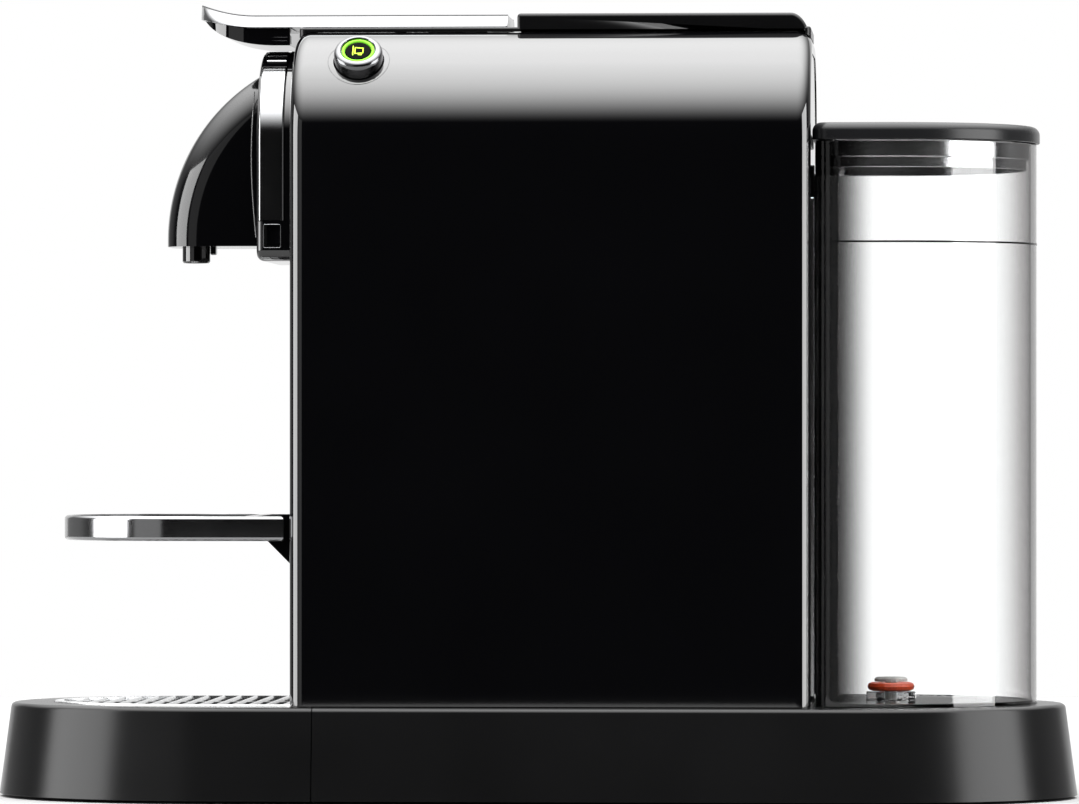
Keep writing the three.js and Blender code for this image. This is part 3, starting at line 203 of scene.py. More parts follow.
def clear_plastic():
    """Clear plastic, with painted shade where it slides in behind the casing and a painted grey shade at its
    rear end.
    """
    n = Nodes("clear_tank")
    swirl = n.noise(9)
    clear = n.mix(swirl, (0.965, 0.97, 0.97), (0.98, 0.985, 0.985))
    across = n.add("ShaderNodeSeparateXYZ", {"Vector": n.place()}).outputs["X"]
    # painted shade: dark towards the casing, then grey towards the rear end
    front_shaded = n.mix(n.ramp(across, *PAINTED_SHADE_ENDS), PAINTED_SHADE, clear)
    n.set(Base_Color=n.mix(n.ramp(across, *REAR_SHADE_ENDS), front_shaded, REAR_PAINTED_SHADE))
    n.set(Roughness=n.spread(n.noise(40), 0.0, 0.03))
    n.set(Transmission_Weight=1.0, IOR=1.46, Normal=n.bump(swirl, 0.00002))
    return n.material


def lit_plastic(name, color, power):
    """Plastic lit from behind."""
    n = Nodes(name)
    glow = n.noise(900, 1)
    dimmer = tuple(c * 0.8 for c in color)
    n.set(Base_Color=n.mix(glow, dimmer, color), Emission_Color=n.mix(glow, dimmer, color))
    n.set(Emission_Strength=power, Roughness=0.35, Specular_IOR_Level=0.05)
    return n.material


def circuit_board():
    """Green lacquer in cells, with copper lines between them."""
    n = Nodes("circuit_board")
    colors = {"Color1": (0.012, 0.1, 0.035, 1), "Color2": (0.02, 0.13, 0.05, 1)}
    lines = {"Mortar": (0.35, 0.26, 0.1, 1)}
    cells = n.add("ShaderNodeTexBrick", {"Vector": n.place(), "Scale": 160.0, **colors, **lines})
    n.set(Base_Color=cells.outputs["Color"], Roughness=n.spread(n.noise(50), 0.35, 0.55))
    n.set(Normal=n.bump(cells.outputs["Fac"], 0.0001))
    return n.material


GLOSS_BLACK = (0.0007, 0.0007, 0.0009)
# A plastic's numbers are its roughness, the spread of it, and the scale and depth of its grain.
plastic("gloss_black", GLOSS_BLACK, 0.12, 0.02, 220, 0.000004, coat=1.0, coat_rough=0.02, shine=0.0)
plastic("spout_black", GLOSS_BLACK, 0.12, 0.02, 220, 0.000004, coat=0.5, coat_rough=0.05, shine=0.1)
plastic("display_black", (0.001, 0.0014, 0.001), 0.3, 0.02, 220, 0.000004, coat_rough=0.02, shine=0.01)
plastic("satin_black", (0.001, 0.001, 0.0011), 0.24, 0.02, 2600, 0.000006, shine=0.23)
plastic("lid_grey", (0.0035, 0.0036, 0.004), 0.28, 0.04, 2600, 0.00001, shine=0.25)
plastic("dark_grey", (0.02, 0.02, 0.022), 0.5, 0.06, 1500, 0.00003)
plastic("rubber", (0.006, 0.006, 0.006), 0.8, 0.08, 1900, 0.00004)
plastic("seal_red", (0.4, 0.04, 0.008), 0.42, 0.06, 1500, 0.00002)
plastic("white_plastic", (0.3, 0.295, 0.285), 0.4, 0.06, 1500, 0.00002)
plastic("silicone", (0.3, 0.3, 0.27), 0.5, 0.06, 600, 0.00003)
metal("silver_plastic", (0.5, 0.5, 0.505), 0.17, 0.03, scale=40)
metal("bar_chrome", (0.28, 0.282, 0.287), 0.13, 0.03, scale=30)
metal("button_metal", (0.13, 0.131, 0.134), 0.16, 0.03, scale=60)
metal("edge_metal", (0.05, 0.05, 0.052), 0.4, 0.03, scale=30)
metal("chrome", (0.86, 0.865, 0.875), 0.05, 0.015, scale=30)
metal("steel", (0.62, 0.625, 0.63), 0.26, 0.07, (1, 12, 1), 90, 0.000006)
metal("aluminium", (0.6, 0.61, 0.62), 0.42, 0.08, scale=300, grain=0.00004)
metal("copper", (0.75, 0.36, 0.16), 0.35, 0.08, (40, 1, 1), 60, 0.00004)
lit_plastic("green_light", (0.16, 0.5, 0.03), 0.7)
lit_plastic("icon_light", (0.42, 0.68, 0.04), 1.1)
FINISH["clear_plastic"] = clear_plastic()
FINISH["board_green"] = circuit_board()


def paint(piece, finish):
    piece.data.materials.clear()
    piece.data.materials.append(FINISH[finish])


for entry in frame["record"]["subparts"]:
    paint(nodes[entry["node"]], entry["material_slot"])


# ---------- shapes ----------
# Outlines and places are in millimetres; objects are made in metres.


def mm_box(node):
    low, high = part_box(node)
    return low / MM, high / MM


def mm_middle(node):
    low, high = mm_box(node)
    return (low + high) / 2


def arc(centre, radius, start, end, steps=24):
    """Points on part of a circle, or of an ellipse where radius is a pair."""
    rx, ry = radius if isinstance(radius, tuple) else (radius, radius)
    turns = [start + (end - start) * i / steps for i in range(steps + 1)]
    return [(centre[0] + rx * math.cos(t), centre[1] + ry * math.sin(t)) for t in turns]


def rounded(x0, y0, x1, y1, radius):
    """A rectangle with round corners."""
    left, right = x0 + radius, x1 - radius
    low, high = y0 + radius, y1 - radius
    points = []
    for i, corner in enumerate([(right, low), (right, high), (left, high), (left, low)]):
        points += arc(corner, radius, (i - 1) * QUARTER, i * QUARTER, 8)
    return points


def distinct(points):
    """The points without those that repeat the one before."""
    return [p for i, p in enumerate(points) if math.dist(p, points[i - 1]) > 1e-4]


def new_object(name, data):
    piece = bpy.data.objects.new(name, data)
    scene.collection.objects.link(piece)
    return piece


def from_bmesh(name, bm):
    bmesh.ops.recalc_face_normals(bm, faces=bm.faces)
    mesh = bpy.data.meshes.new(name)
    bm.to_mesh(mesh)
    bm.free()
    return new_object(name, mesh)


# How an outline's own two coordinates and its extrusion lie, for an extrusion along each axis.
LAY = {
    "x": lambda a, b, along: (along, a, b),
    "y": lambda a, b, along: (a, along, b),
    "z": lambda a, b, along: (a, b, along),
}


def prism(name, outline, axis, low, high, edge=0.0, steps=4):
    """A prism of an outline; edge rounds its two ends."""
    bm = bmesh.new()
    points = distinct(outline)
    lay = LAY[axis]
    near, far = ([bm.verts.new(Vector(lay(a, b, along)) * MM) for a, b in points] for along in (low, high))
    caps = [bm.faces.new(near), bm.faces.new(far)]
    for i in range(len(points)):
        j = (i + 1) % len(points)
        bm.faces.new((near[i], near[j], far[j], far[i]))
    bmesh.ops.recalc_face_normals(bm, faces=bm.faces)
    if edge:
        rims = [e for cap in caps for e in cap.edges]
        shape = {"segments": steps, "profile": 0.5, "affect": "EDGES", "clamp_overlap": True}
        bmesh.ops.bevel(bm, geom=rims, offset=edge * MM, **shape)
    return from_bmesh(name, bm)


def loft(name, rings):
    """Closed rings of equal count, each [(x, y, z), ...], joined in order and closed by flat ends."""
    bm = bmesh.new()
    rows = [[bm.verts.new(Vector(p) * MM) for p in ring] for ring in rings]
    count = len(rows[0])
    for a, b in zip(rows, rows[1:]):
        for i in range(count):
            j = (i + 1) % count
            bm.faces.new((a[i], a[j], b[j], b[i]))
    bm.faces.new(rows[0])
    bm.faces.new(rows[-1])
    return from_bmesh(name, bm)


def turned(name, profile, place=Matrix(), steps=64):
    """A solid turned about its own +Z from (radius, z) points, closed on the axis or as a ring."""
    bm = bmesh.new()
    profile = profile if profile[0][0] < 1e-6 else profile + [profile[0]]
    verts = [bm.verts.new(place @ (Vector((r, 0, z)) * MM)) for r, z in profile]
    edges = [bm.edges.new(pair) for pair in zip(verts, verts[1:])]
    axis = (place.to_3x3() @ Vector((0, 0, 1))).normalized()
    bmesh.ops.spin(
        bm, geom=verts + edges, cent=place.translation, axis=axis, angle=2 * math.pi, steps=steps
    )
    bmesh.ops.remove_doubles(bm, verts=bm.verts, dist=1e-6)
    return from_bmesh(name, bm)


def block(name, low, high, edge=0.0):
    (x0, y0, z0), (x1, y1, z1) = low, high
    return prism(name, [(x0, y0), (x1, y0), (x1, y1), (x0, y1)], "z", z0, z1, edge, 3)


def rod(name, axis, a, b, low, high, radius, steps=48):
    return prism(name, arc((a, b), radius, 0, 2 * math.pi, steps)[:-1], axis, low, high)


def tube(name, points, radius):
    """A round bar or wire along given points in millimetres."""
    curve = bpy.data.curves.new(name, "CURVE")
    curve.dimensions = "3D"
    spline = curve.splines.new("NURBS")
    spline.points.add(len(points) - 1)
    for slot, point in zip(spline.points, points):
        slot.co = (*(Vector(point) * MM), 1)
    spline.use_endpoint_u = True
    spline.order_u = 3
    curve.bevel_depth = radius * MM
    curve.bevel_resolution = 3
    curve.use_fill_caps = True
    piece = new_object(name, curve)
    mesh = bpy.data.meshes.new_from_object(piece)
    bpy.data.objects.remove(piece)
    return new_object(name, mesh)


def bake(piece):
    """Applies a piece's modifiers."""
    bpy.context.view_layer.update()
    graph = bpy.context.evaluated_depsgraph_get()
    mesh = bpy.data.meshes.new_from_object(piece.evaluated_get(graph))
    piece.modifiers.clear()
    piece.data = mesh
    return piece


def combine(piece, operation, others):
    for other in others:
        modifier = piece.modifiers.new("combine", "BOOLEAN")
        modifier.operation = operation
        modifier.object = other
        modifier.solver = "EXACT"
    bake(piece)
    for other in others:
        bpy.data.objects.remove(other)
    return piece


def twin_of(piece):
    return new_object("tool", piece.data.copy())


def cut(piece, *others):
    return combine(piece, "DIFFERENCE", others)


def join(piece, *others):
    return combine(piece, "UNION", others)


def keep(piece, *others):
    return combine(piece, "INTERSECT", others)


def smooth(piece, angle=32, edge=0.0, steps=2):
    """Smooth shading that keeps flat faces flat, after easing sharp edges where edge is set."""
    if edge:
        bevel = piece.modifiers.new("edges", "BEVEL")
        bevel.width = edge * MM
        bevel.segments = steps
        bevel.limit_method = "ANGLE"
        bevel.angle_limit = math.radians(angle)
        bevel.harden_normals = False
        bake(piece)
    for face in piece.data.polygons:
        face.use_smooth = True
    piece.data.set_sharp_from_angle(angle=math.radians(angle))
    weighted = piece.modifiers.new("normals", "WEIGHTED_NORMAL")
    weighted.keep_sharp = True
    weighted.weight = 80
    return piece


SPAN = 600  # further than any part of the machine reaches


SIDES = ((-1, "right"), (1, "left"))


def place(piece, body, slot, *stands_for, finish=None):
    """Paints a finished piece with its finish, or with the slot's material where no finish is given, puts it
    under its body, and hides the nodes it stands for.
    """
    paint(piece, finish or slot)
    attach(piece, body)
    if stands_for:
        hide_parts(*stands_for)


# ---------- light and floor ----------

DOME = 10.5  # radiance of the soft light overhead
DOME_BEHIND = 6.3  # what it falls to on the machine's far side
DOME_TURN = 0.8  # how far back on the unit sphere it has fallen to that
DOME_LOW = 0.28  # height on the unit sphere where the dome starts
DOME_HIGH = 1.06  # height it would be full at
DIM = 0.005  # radiance near the horizon, which the glossy flat sides mirror
HAZE = 0.3  # radiance near the horizon behind the machine
HAZE_ENDS = (0.1, 0.45)  # how far back the haze starts and is full
BACKDROP = 1.0
CLEAR_LIFT = 0.28  # the backdrop is this much brighter through clear plastic, for what its walls take
FLOOR_RADIUS = 1.0
FLOOR_SHADES = ((0.2, 0.2, 0.2), (0.21, 0.21, 0.21))
MIDDLE = (0, 0, 0.13)


def make_world():
    """A soft dome over a dark horizon; the camera and clear plastic see a plain pale backdrop."""
    world = bpy.data.worlds.new("studio")
    world.use_nodes = True
    tree = world.node_tree
    tree.nodes.clear()

    def change(value, start, end, low, high, kind="SMOOTHSTEP"):
        inputs = {"Value": value, "From Min": start, "From Max": end, "To Min": low, "To Max": high}
        return add_node(tree, "ShaderNodeMapRange", inputs, interpolation_type=kind).outputs["Result"]

    def count(operation, *values, clamp=False):
        node = add_node(tree, "ShaderNodeMath", operation=operation, use_clamp=clamp)
        for socket, value in zip(node.inputs, values):
            connect(tree, socket, value)
        return node.outputs[0]

    def background(strength):
        inputs = {"Color": (1, 1, 1, 1), "Strength": strength}
        return add_node(tree, "ShaderNodeBackground", inputs).outputs[0]

    where = add_node(tree, "ShaderNodeTexCoord").outputs["Generated"]
    direction = add_node(tree, "ShaderNodeSeparateXYZ", {"Vector": where}).outputs
    top = change(direction["Y"], 0, DOME_TURN, DOME, DOME_BEHIND, "LINEAR")
    horizon = change(direction["Y"], *HAZE_ENDS, DIM, HAZE)
    dome = background(change(direction["Z"], DOME_LOW, DOME_HIGH, horizon, top))
    path = add_node(tree, "ShaderNodeLightPath").outputs
    bounces = count("ADD", path["Glossy Depth"], path["Diffuse Depth"])
    through = count("SUBTRACT", path["Is Transmission Ray"], bounces, clamp=True)
    seen = count("MAXIMUM", path["Is Camera Ray"], through)
    plain = background(count("MULTIPLY_ADD", through, CLEAR_LIFT, BACKDROP))
    mix = add_node(tree, "ShaderNodeMixShader")
    for socket, value in zip(mix.inputs, (seen, dome, plain)):
        connect(tree, socket, value)
    add_node(tree, "ShaderNodeOutputWorld", {"Surface": mix.outputs[0]})
    scene.world = world


def softbox(name, where, wide, tall, radiance):
    """A rectangular soft light aimed at the machine's middle."""
    light = bpy.data.lights.new(name, "AREA")
    light.shape = "RECTANGLE"
    light.size = wide
    light.size_y = tall
    light.energy = radiance * math.pi * wide * tall
    lamp = new_object(name, light)
    lamp.location = where
    lamp.rotation_euler = (Vector(MIDDLE) - Vector(where)).to_track_quat("-Z", "Y").to_euler()
    return lamp


make_world()
softbox("side_front", (-1.25, -0.42, 0.34), 0.9, 0.75, 8.0)
softbox("front_left", (-0.8, -1.25, 0.34), 0.7, 0.75, 0.5)
softbox("side_rear", (1.25, -0.42, 0.34), 0.9, 0.75, 8.0)
softbox("behind", (0, 1.7, 0.36), 2.6, 0.8, 0.6).visible_transmission = False

scene.view_settings.view_transform = "Standard"
scene.view_settings.look = "None"
scene.view_settings.exposure = 0
scene.view_settings.gamma = 1


def make_floor():
    bm = bmesh.new()
    bmesh.ops.create_circle(bm, cap_ends=True, segments=96, radius=FLOOR_RADIUS)
    floor = from_bmesh("floor", bm)
    n = Nodes("floor")
    n.set(Base_Color=n.mix(n.noise(6), *FLOOR_SHADES), Roughness=0.9, Specular_IOR_Level=0.1)
    floor.data.materials.append(n.material)


make_floor()


# ---------- base and drip tray ----------

SLOPE = 0.1334  # the base's walls lean in by this much of their height
ROUND = 77  # how far each round end of the base reaches along it
WALL = 2.5
GAP = 0.3  # between pieces that meet
BASE_EDGE = 1.6  # radius of the base's top edge
DECK = 4  # thickness of the base's top
WELL_DEPTH = 1.8  # how deep the tank stands in the base
SOCKET_RADIUS = 11.3
PORT_RADIUS = 6.3
HOSE_HOLE = (44, -30)
HOSE_HOLE_RADIUS = 5.2
PAD_PLACE = (-140, 38)
PAD_RADIUS = 9
LEDGE = 3.5  # what the drip grid rests on
RIM = 3
BAR_RADIUS = 1.1
BAR_GAPS = 14
TANK_END = 50
TANK_CORNER = 6
ABOVE = 5  # how far a cutting tool stands out of what it cuts

base_low, base_high = mm_box("base_housing")
tray_low, tray_high = mm_box("drip_tray")
grid_low, grid_high = mm_box("drip_grid")
tank_low, tank_high = mm_box("tank_body")
HALF_WIDTH = base_high.y
FOOT = base_low.z
DECK_TOP = base_high.z
SPLIT = base_low.x
FRONT = tray_low.x
REAR = base_high.x


def base_plan(inset):
    """The base seen from above: two straight sides between round ends."""
    reach = (ROUND - inset, HALF_WIDTH - inset)
    rear = arc((REAR - ROUND, 0), reach, -QUARTER, QUARTER, 40)
    front = arc((FRONT + ROUND, 0), reach, QUARTER, 3 * QUARTER, 40)
    return rear + front


def base_body(name, inset, low, high, edge=0.0):
    """The base's leaning form between two heights, with a rounded top edge."""
    steps = 6
    levels = [(low, 0.0)]
    for i in range(steps + 1 if edge else 1):
        turn = QUARTER * i / steps
        levels.append((high - edge + edge * math.sin(turn), edge * (1 - math.cos(turn))))
    rings = []
    for z, extra in levels:
        plan = base_plan(inset + (z - FOOT) * SLOPE + extra)
        rings.append([(x, y, z) for x, y in plan])
    return loft(name, rings)


def beyond(x=-SPAN, z=-SPAN):
    """A tool that covers everything past a place along X or Z."""
    return block("tool", (x, -SPAN, z), (SPAN, SPAN, SPAN))


def before(x):
    """A tool that covers everything up to a place along X."""
    return block("tool", (-SPAN, -SPAN, -SPAN), (x, SPAN, SPAN))


def tank_plan(inset):
    """The tank seen from above: half an ellipse with a flat front."""
    half = tank_high.y - inset
    corner = TANK_CORNER
    front = tank_low.x + inset
    flat = tank_high.x - TANK_END
    return (
        arc((flat, 0), (TANK_END - inset, half), -QUARTER, QUARTER, 48)
        + arc((front + corner, half - corner), corner, QUARTER, 2 * QUARTER, 8)
        + arc((front + corner, corner - half), corner, 2 * QUARTER, 3 * QUARTER, 8)
    )


def make_base():
    """The base's rear part: the tank's well, its socket and the mains inlet's port are cut into it."""
    base = base_body("base_shell", 0, FOOT, DECK_TOP, BASE_EDGE)
    cavity = base_body("tool", WALL, FOOT - 1, DECK_TOP - DECK)
    keep(cavity, beyond(x=SPLIT + WALL))
    keep(base, beyond(x=SPLIT))
    well = prism("tool", tank_plan(-GAP), "z", DECK_TOP - WELL_DEPTH, DECK_TOP + ABOVE)
    seal = mm_middle("connector_seal")
    inlet = mm_middle("cable_inlet")
    socket = rod("tool", "z", seal.x, 0, 20, 40, SOCKET_RADIUS)
    port = rod("tool", "y", inlet.x, inlet.z, 40, 80, PORT_RADIUS)
    hole = rod("tool", "z", *HOSE_HOLE, 20, 40, HOSE_HOLE_RADIUS)
    cut(base, cavity, well, socket, port, hole)
    smooth(base, 38, 0.25, 2)
    place(base, "root", "satin_black", "base_housing")


def grid_slab(name, inset, low, high, rear, *edge):
    """The drip grid's outline, drawn in by inset and cut off at rear."""
    piece = prism(name, base_plan(grid_low.x - FRONT + inset), "z", low, high, *edge)
    return keep(piece, before(x=rear))


def make_tray():
    """The base's front part: a hollow tray with a ledge for the grid and two feet."""
    rear = tray_high.x
    tray = base_body("drip_tray_shell", 0, FOOT, DECK_TOP, BASE_EDGE)
    keep(tray, before(x=rear))
    floor = FOOT + WALL
    inside = base_body("tool", WALL, floor, grid_low.z - LEDGE)
    keep(inside, before(x=rear - WALL))
    recess = grid_slab("tool", -GAP, grid_low.z - GAP, DECK_TOP + ABOVE, grid_high.x + GAP)
    mouth = grid_slab("tool", LEDGE, floor, DECK_TOP + ABOVE, grid_high.x - LEDGE)
    cut(tray, inside, recess, mouth)
    x, y = PAD_PLACE
    join(tray, *(rod("tool", "z", x, side * y, 0, FOOT + 1, PAD_RADIUS) for side in (-1, 1)))
    smooth(tray, 38, 0.25, 2)
    place(tray, "drip_module", "satin_black", "drip_tray")


def make_grid():
    """A steel drip grid: a folded rim, round cross bars and a spine under them."""
    low, top, rear = grid_low.z, grid_high.z, grid_high.x
    grid = grid_slab("drip_grid_bars", 0, low, top, rear, 0.5, 3)
    cut(grid, grid_slab("tool", RIM, low - ABOVE, top + ABOVE, rear - RIM))
    first = grid_low.x + RIM
    pitch = (rear - RIM - first) / BAR_GAPS
    bars = []
    for i in range(1, BAR_GAPS):
        bars.append(rod("tool", "y", first + i * pitch, top - BAR_RADIUS, -SPAN, SPAN, BAR_RADIUS, 16))
    spine = block("tool", (-SPAN, -1.2, low), (SPAN, 1.2, top - 0.6))
    web = join(bars[0], *bars[1:], spine)
    keep(web, grid_slab("tool", RIM - 1, low - ABOVE, top + ABOVE, rear - RIM + 1))
    join(grid, web)
    smooth(grid, 35)
    place(grid, "drip_grid", "steel", "drip_grid")


make_base()
make_tray()
make_grid()


# ---------- casing ----------

casing_low, casing_high = mm_box("casing_shell")
SHOULDER = 37
CASING_EDGE = 5
LIP = 2.4  # width of the casing's end faces inside their round edge
LEVER_THICK = 4.1
SHOULDER_Y = casing_high.y - SHOULDER
SHOULDER_Z = casing_high.z - SHOULDER
lever_low, lever_high = mm_box("lever_top")
hinge = Vector(next(j for j in frame["joints"] if j["name"] == "lever_hinge")["pos_m"]) / MM
SWEEP = math.hypot(lever_high.x - hinge.x, lever_low.z + LEVER_THICK - hinge.z)  # of the lever's rear end
SLOT_FRONT = casing_low.x + 3.5
SLOT_REAR = hinge.x + SWEEP + 0.4
SLOT_HALF = lever_high.y + 0.4
SLOT_HEIGHTS = (250, 280)  # the slot's tool crosses the casing's top
BUTTON_X = -58
BUTTON_RADIUS = 8.3


def arch(inset, low):
    """The casing's section: straight sides and a flat top between round shoulders."""
    half = casing_high.y - inset
    radius = SHOULDER - inset
    return (
        [(-half, low), (half, low)]
        + arc((SHOULDER_Y, SHOULDER_Z), radius, 0, QUARTER, 48)
        + arc((-SHOULDER_Y, SHOULDER_Z), radius, QUARTER, 2 * QUARTER, 48)
    )


def button_matrix(side):
    """A button's own frame: +Z out along its travel, its origin on the shoulder."""
    reach = SHOULDER * math.sqrt(0.5)
    where = Vector((BUTTON_X, side * (SHOULDER_Y + reach), SHOULDER_Z + reach)) * MM
    return Matrix.Translation(where) @ Matrix.Rotation(-side * math.pi / 4, 4, "X")


def make_casing():
    """The gloss shell, open at both ends and below, with the lever's slot and the buttons' holes."""
    low = casing_low.z
    front, rear = casing_low.x, casing_high.x
    shell = prism("casing", arch(0, low - 20), "x", front, rear, CASING_EDGE, 10)
    hollow = prism("tool", arch(WALL, low - 21), "x", front + WALL, rear - WALL)
    ends = prism("tool", arch(CASING_EDGE + LIP, low - 21), "x", -SPAN, SPAN)
    cut(shell, hollow, ends)
    keep(shell, beyond(z=low))
    slot_low, slot_high = SLOT_HEIGHTS
    slot = block("tool", (SLOT_FRONT, -SLOT_HALF, slot_low), (SLOT_REAR, SLOT_HALF, slot_high))
    reach = BUTTON_RADIUS + 0.4
    drill = [(0, -10), (reach, -10), (reach, 10), (0, 10)]
    cut(shell, slot, *(turned("tool", drill, button_matrix(side)) for side in (-1, 1)))
    smooth(shell, 40)
    place(shell, "root", "gloss_black", "casing_shell")


make_casing()


# ---------- top cover ----------

cover_low, cover_high = mm_box("top_cover")
RIDGE_FRONT = -5.4
RIDGE_FALL = (7, 12)  # the ridge's rear end falls in a quarter of an ellipse
RIDGE_EDGE = 1.2
POD_HALF = 20
POD_REAR = -48


def make_top_cover():
    """The satin strip along the casing's top, with the pod slot and the ridge behind the lever."""
    half = cover_high.y
    low = casing_high.z - CASING_EDGE - 1
    band_top = lever_low.z - GAP
    plan = rounded(cover_low.x, -half, cover_high.x, half, 2)
    band = prism("top_cover_shell", plan, "z", low, band_top, 0.8, 3)
    rear, top = cover_high.x, cover_high.z
    side = [(RIDGE_FRONT, low - 10), (rear, low - 10)]
    side += arc((rear - RIDGE_FALL[0], top - RIDGE_FALL[1]), RIDGE_FALL, 0, QUARTER, 20)
    side += arc((RIDGE_FRONT + RIDGE_EDGE, top - RIDGE_EDGE), RIDGE_EDGE, QUARTER, 2 * QUARTER, 4)
    ridge = prism("tool", side, "y", -half, half, 1.4, 5)
    join(band, ridge)
    front, rear = casing_low.x - GAP, casing_high.x + GAP
    skin = prism("tool", arch(-GAP, 0), "x", front, rear, CASING_EDGE + GAP, 10)
    mouth = block("tool", (SLOT_FRONT + 3, -POD_HALF, 0), (POD_REAR, POD_HALF, SPAN))
    recess = block("tool", (POD_REAR + 4, -SLOT_HALF, 0), (SLOT_REAR - 1.5, SLOT_HALF, band_top + 0.01))
    sweep = rod("tool", "y", hinge.x, hinge.z, -SLOT_HALF, SLOT_HALF, SWEEP + 0.4, 96)
    cut(band, skin, mouth, recess, sweep)
    smooth(band, 35)
    place(band, "root", "satin_black", "top_cover")


make_top_cover()


# ---------- lever ----------

BEND = -96  # where the lever starts to sweep up to its tip
BEND_REACH = 10  # how far the sweep stays level past the bend
TIP_DROP = 5  # the underside ends this far below the tip's top
BAR_FOOT = lever_low.z
BAR_TOP = BAR_FOOT + LEVER_THICK
BAR_LEAN = math.radians(16)  # the bar's side faces lean back by this much at their foot
EDGE_LINE = 0.24  # radius of the darker line along the bar's top edges
grip_low, grip_high = mm_box("lever_grip")


def bezier(p0, p1, p2, p3, steps):
    points = []
    for i in range(steps + 1):
        t = i / steps
        s = 1 - t
        k = (s * s * s, 3 * s * s * t, 3 * s * t * t, t * t * t)
        points.append(tuple(k[0] * a + k[1] * b + k[2] * c + k[3] * d for a, b, c, d in zip(p0, p1, p2, p3)))
    return points


def quadratic(p0, p1, p2, steps=16):
    """A curve from p0 to p2 that heads for p1."""
    first = tuple(a + (b - a) * 2 / 3 for a, b in zip(p0, p1))
    second = tuple(c + (b - c) * 2 / 3 for b, c in zip(p1, p2))
    return bezier(p0, first, second, p2, steps)


def bar_edge(half, tip, steps=16):
    """The bar's left edge seen from above, from the bend to the tip."""
    return bezier((BEND, half), (BEND - BEND_REACH, half), (tip, half - 3), (tip, 0), steps)


def bar_top(tip, steps=16):
    return quadratic((BEND, BAR_TOP), (BEND - BEND_REACH, BAR_TOP), (tip, lever_high.z), steps)


def bar_foot(tip, steps=16):
    return quadratic((tip, lever_high.z - TIP_DROP), (BEND - 9, BAR_FOOT), (BEND, BAR_FOOT), steps)


def lever_plan(inset):
    half = lever_high.y - inset
    left = bar_edge(half, lever_low.x + inset)
    right = [(x, -y) for x, y in reversed(left)]
    return [(lever_high.x, -half), (lever_high.x, half)] + left + right


def lever_side():
    tip = lever_low.x - 1
    return [(lever_high.x, BAR_FOOT), (lever_high.x, BAR_TOP)] + bar_top(tip) + bar_foot(tip)


def at(curve, x):
    """Height or half-width of a curve of (x, value) points at x."""
    points = sorted(curve)
    for (x0, v0), (x1, v1) in zip(points, points[1:]):
        if x <= x1 and x1 > x0:
            return v0 + (v1 - v0) * max(0, x - x0) / (x1 - x0)
    return points[-1][1]


def make_bar():
    """The lever's chrome bar: its sides are round and lean back, and it sweeps up to a thin tip."""
    tip, rear, half = lever_low.x, lever_high.x, lever_high.y
    upper = bar_top(tip - 0.4, 24) + [(rear, BAR_TOP)]
    lower = bar_foot(tip - 0.4, 24) + [(rear, BAR_FOOT)]
    plan = bar_edge(half, tip, 40) + [(rear, half)]
    count = 18
    stations = [tip + 0.15 + (BEND - tip) * (i / count) ** 2 for i in range(count + 1)]
    rings = []
    edges = []
    for x in stations + [-60, rear - 0.6, rear]:
        low, high = at(lower, x), at(upper, x)
        radius = (high - low) / (1 - math.sin(BAR_LEAN))
        reach = radius * math.cos(BAR_LEAN)
        half_here = max(at(plan, x), 0.6)
        fit = min(1, half_here / (reach + 0.3))
        round_side = arc((0, low - radius * math.sin(BAR_LEAN)), radius, BAR_LEAN, QUARTER, 16)
        side = [(half_here - fit * (reach - y), z) for y, z in round_side]
        rings.append([(x, y, z) for y, z in side] + [(x, -y, z) for y, z in reversed(side)])
        edges.append((x, side[-1][0], side[-1][1] + 0.05))
    for sign, name in SIDES:
        line = tube("lever_edge_" + name, [(x, sign * y, z) for x, y, z in edges], EDGE_LINE)
        smooth(line)
        place(line, "lever", "chrome", finish="edge_metal")
    bar = loft("lever_bar", rings)
    smooth(bar, 50, 0.3, 2)
    place(bar, "lever", "chrome", "lever_top", finish="bar_chrome")


def make_pad():
    """The gloss pad under the bar, with two fine lines along each side."""
    under = BAR_FOOT - GAP
    bottom = grip_low.z
    tip = lever_low.x
    rear = grip_high.x
    outline = (
        [(rear, under), (rear, bottom), (BEND + 6, bottom)]
        + quadratic((BEND + 6, bottom), (BEND - 11, bottom + 0.5), (tip + 2.4, lever_high.z - 6.2))
        + quadratic((tip + 3, lever_high.z - 5.2), (BEND - 8.6, under), (BEND, under))
    )
    pad = prism("lever_pad", outline, "y", -30, 30)
    keep(pad, prism("tool", lever_plan(0.8), "z", 200, 300))
    cut(pad, prism("tool", lever_side(), "y", -40, 40))
    smooth(pad, 30, 0.6, 4)
    place(pad, "lever", "gloss_black", "lever_grip")
    for z in (bottom + 1.6, bottom + 2.8):
        course = [(rear - 1, 20.6, z), (-95, 20.6, z), (-101, 20.1, z + 0.6), (-106, 18, z + 2)]
        for sign, name in SIDES:
            label = "grip_line_%s_%d" % (name, round(z * 10))
            line = tube(label, [(x, sign * y, h) for x, y, h in course], 0.12)
            smooth(line)
            place(line, "lever", "chrome", finish="edge_metal")


make_bar()
make_pad()


# ---------- brewing head and spout ----------

head_low, head_high = mm_box("head_frame")
trim_low, trim_high = mm_box("head_trim")
spout_low, spout_high = mm_box("spout_housing")
nozzle_low, nozzle_high = mm_box("outlet_nozzle")
NOZZLE_X = (nozzle_low.x + nozzle_high.x) / 2
NOZZLE_RADIUS = (nozzle_high.x - nozzle_low.x) / 2
SPOUT_RADIUS = 65.5
SPOUT_EDGE = 12
SPOUT_X = -61.5
SPOUT_Z = spout_high.z - math.sqrt(SPOUT_RADIUS**2 - (SPOUT_X - spout_high.x) ** 2)


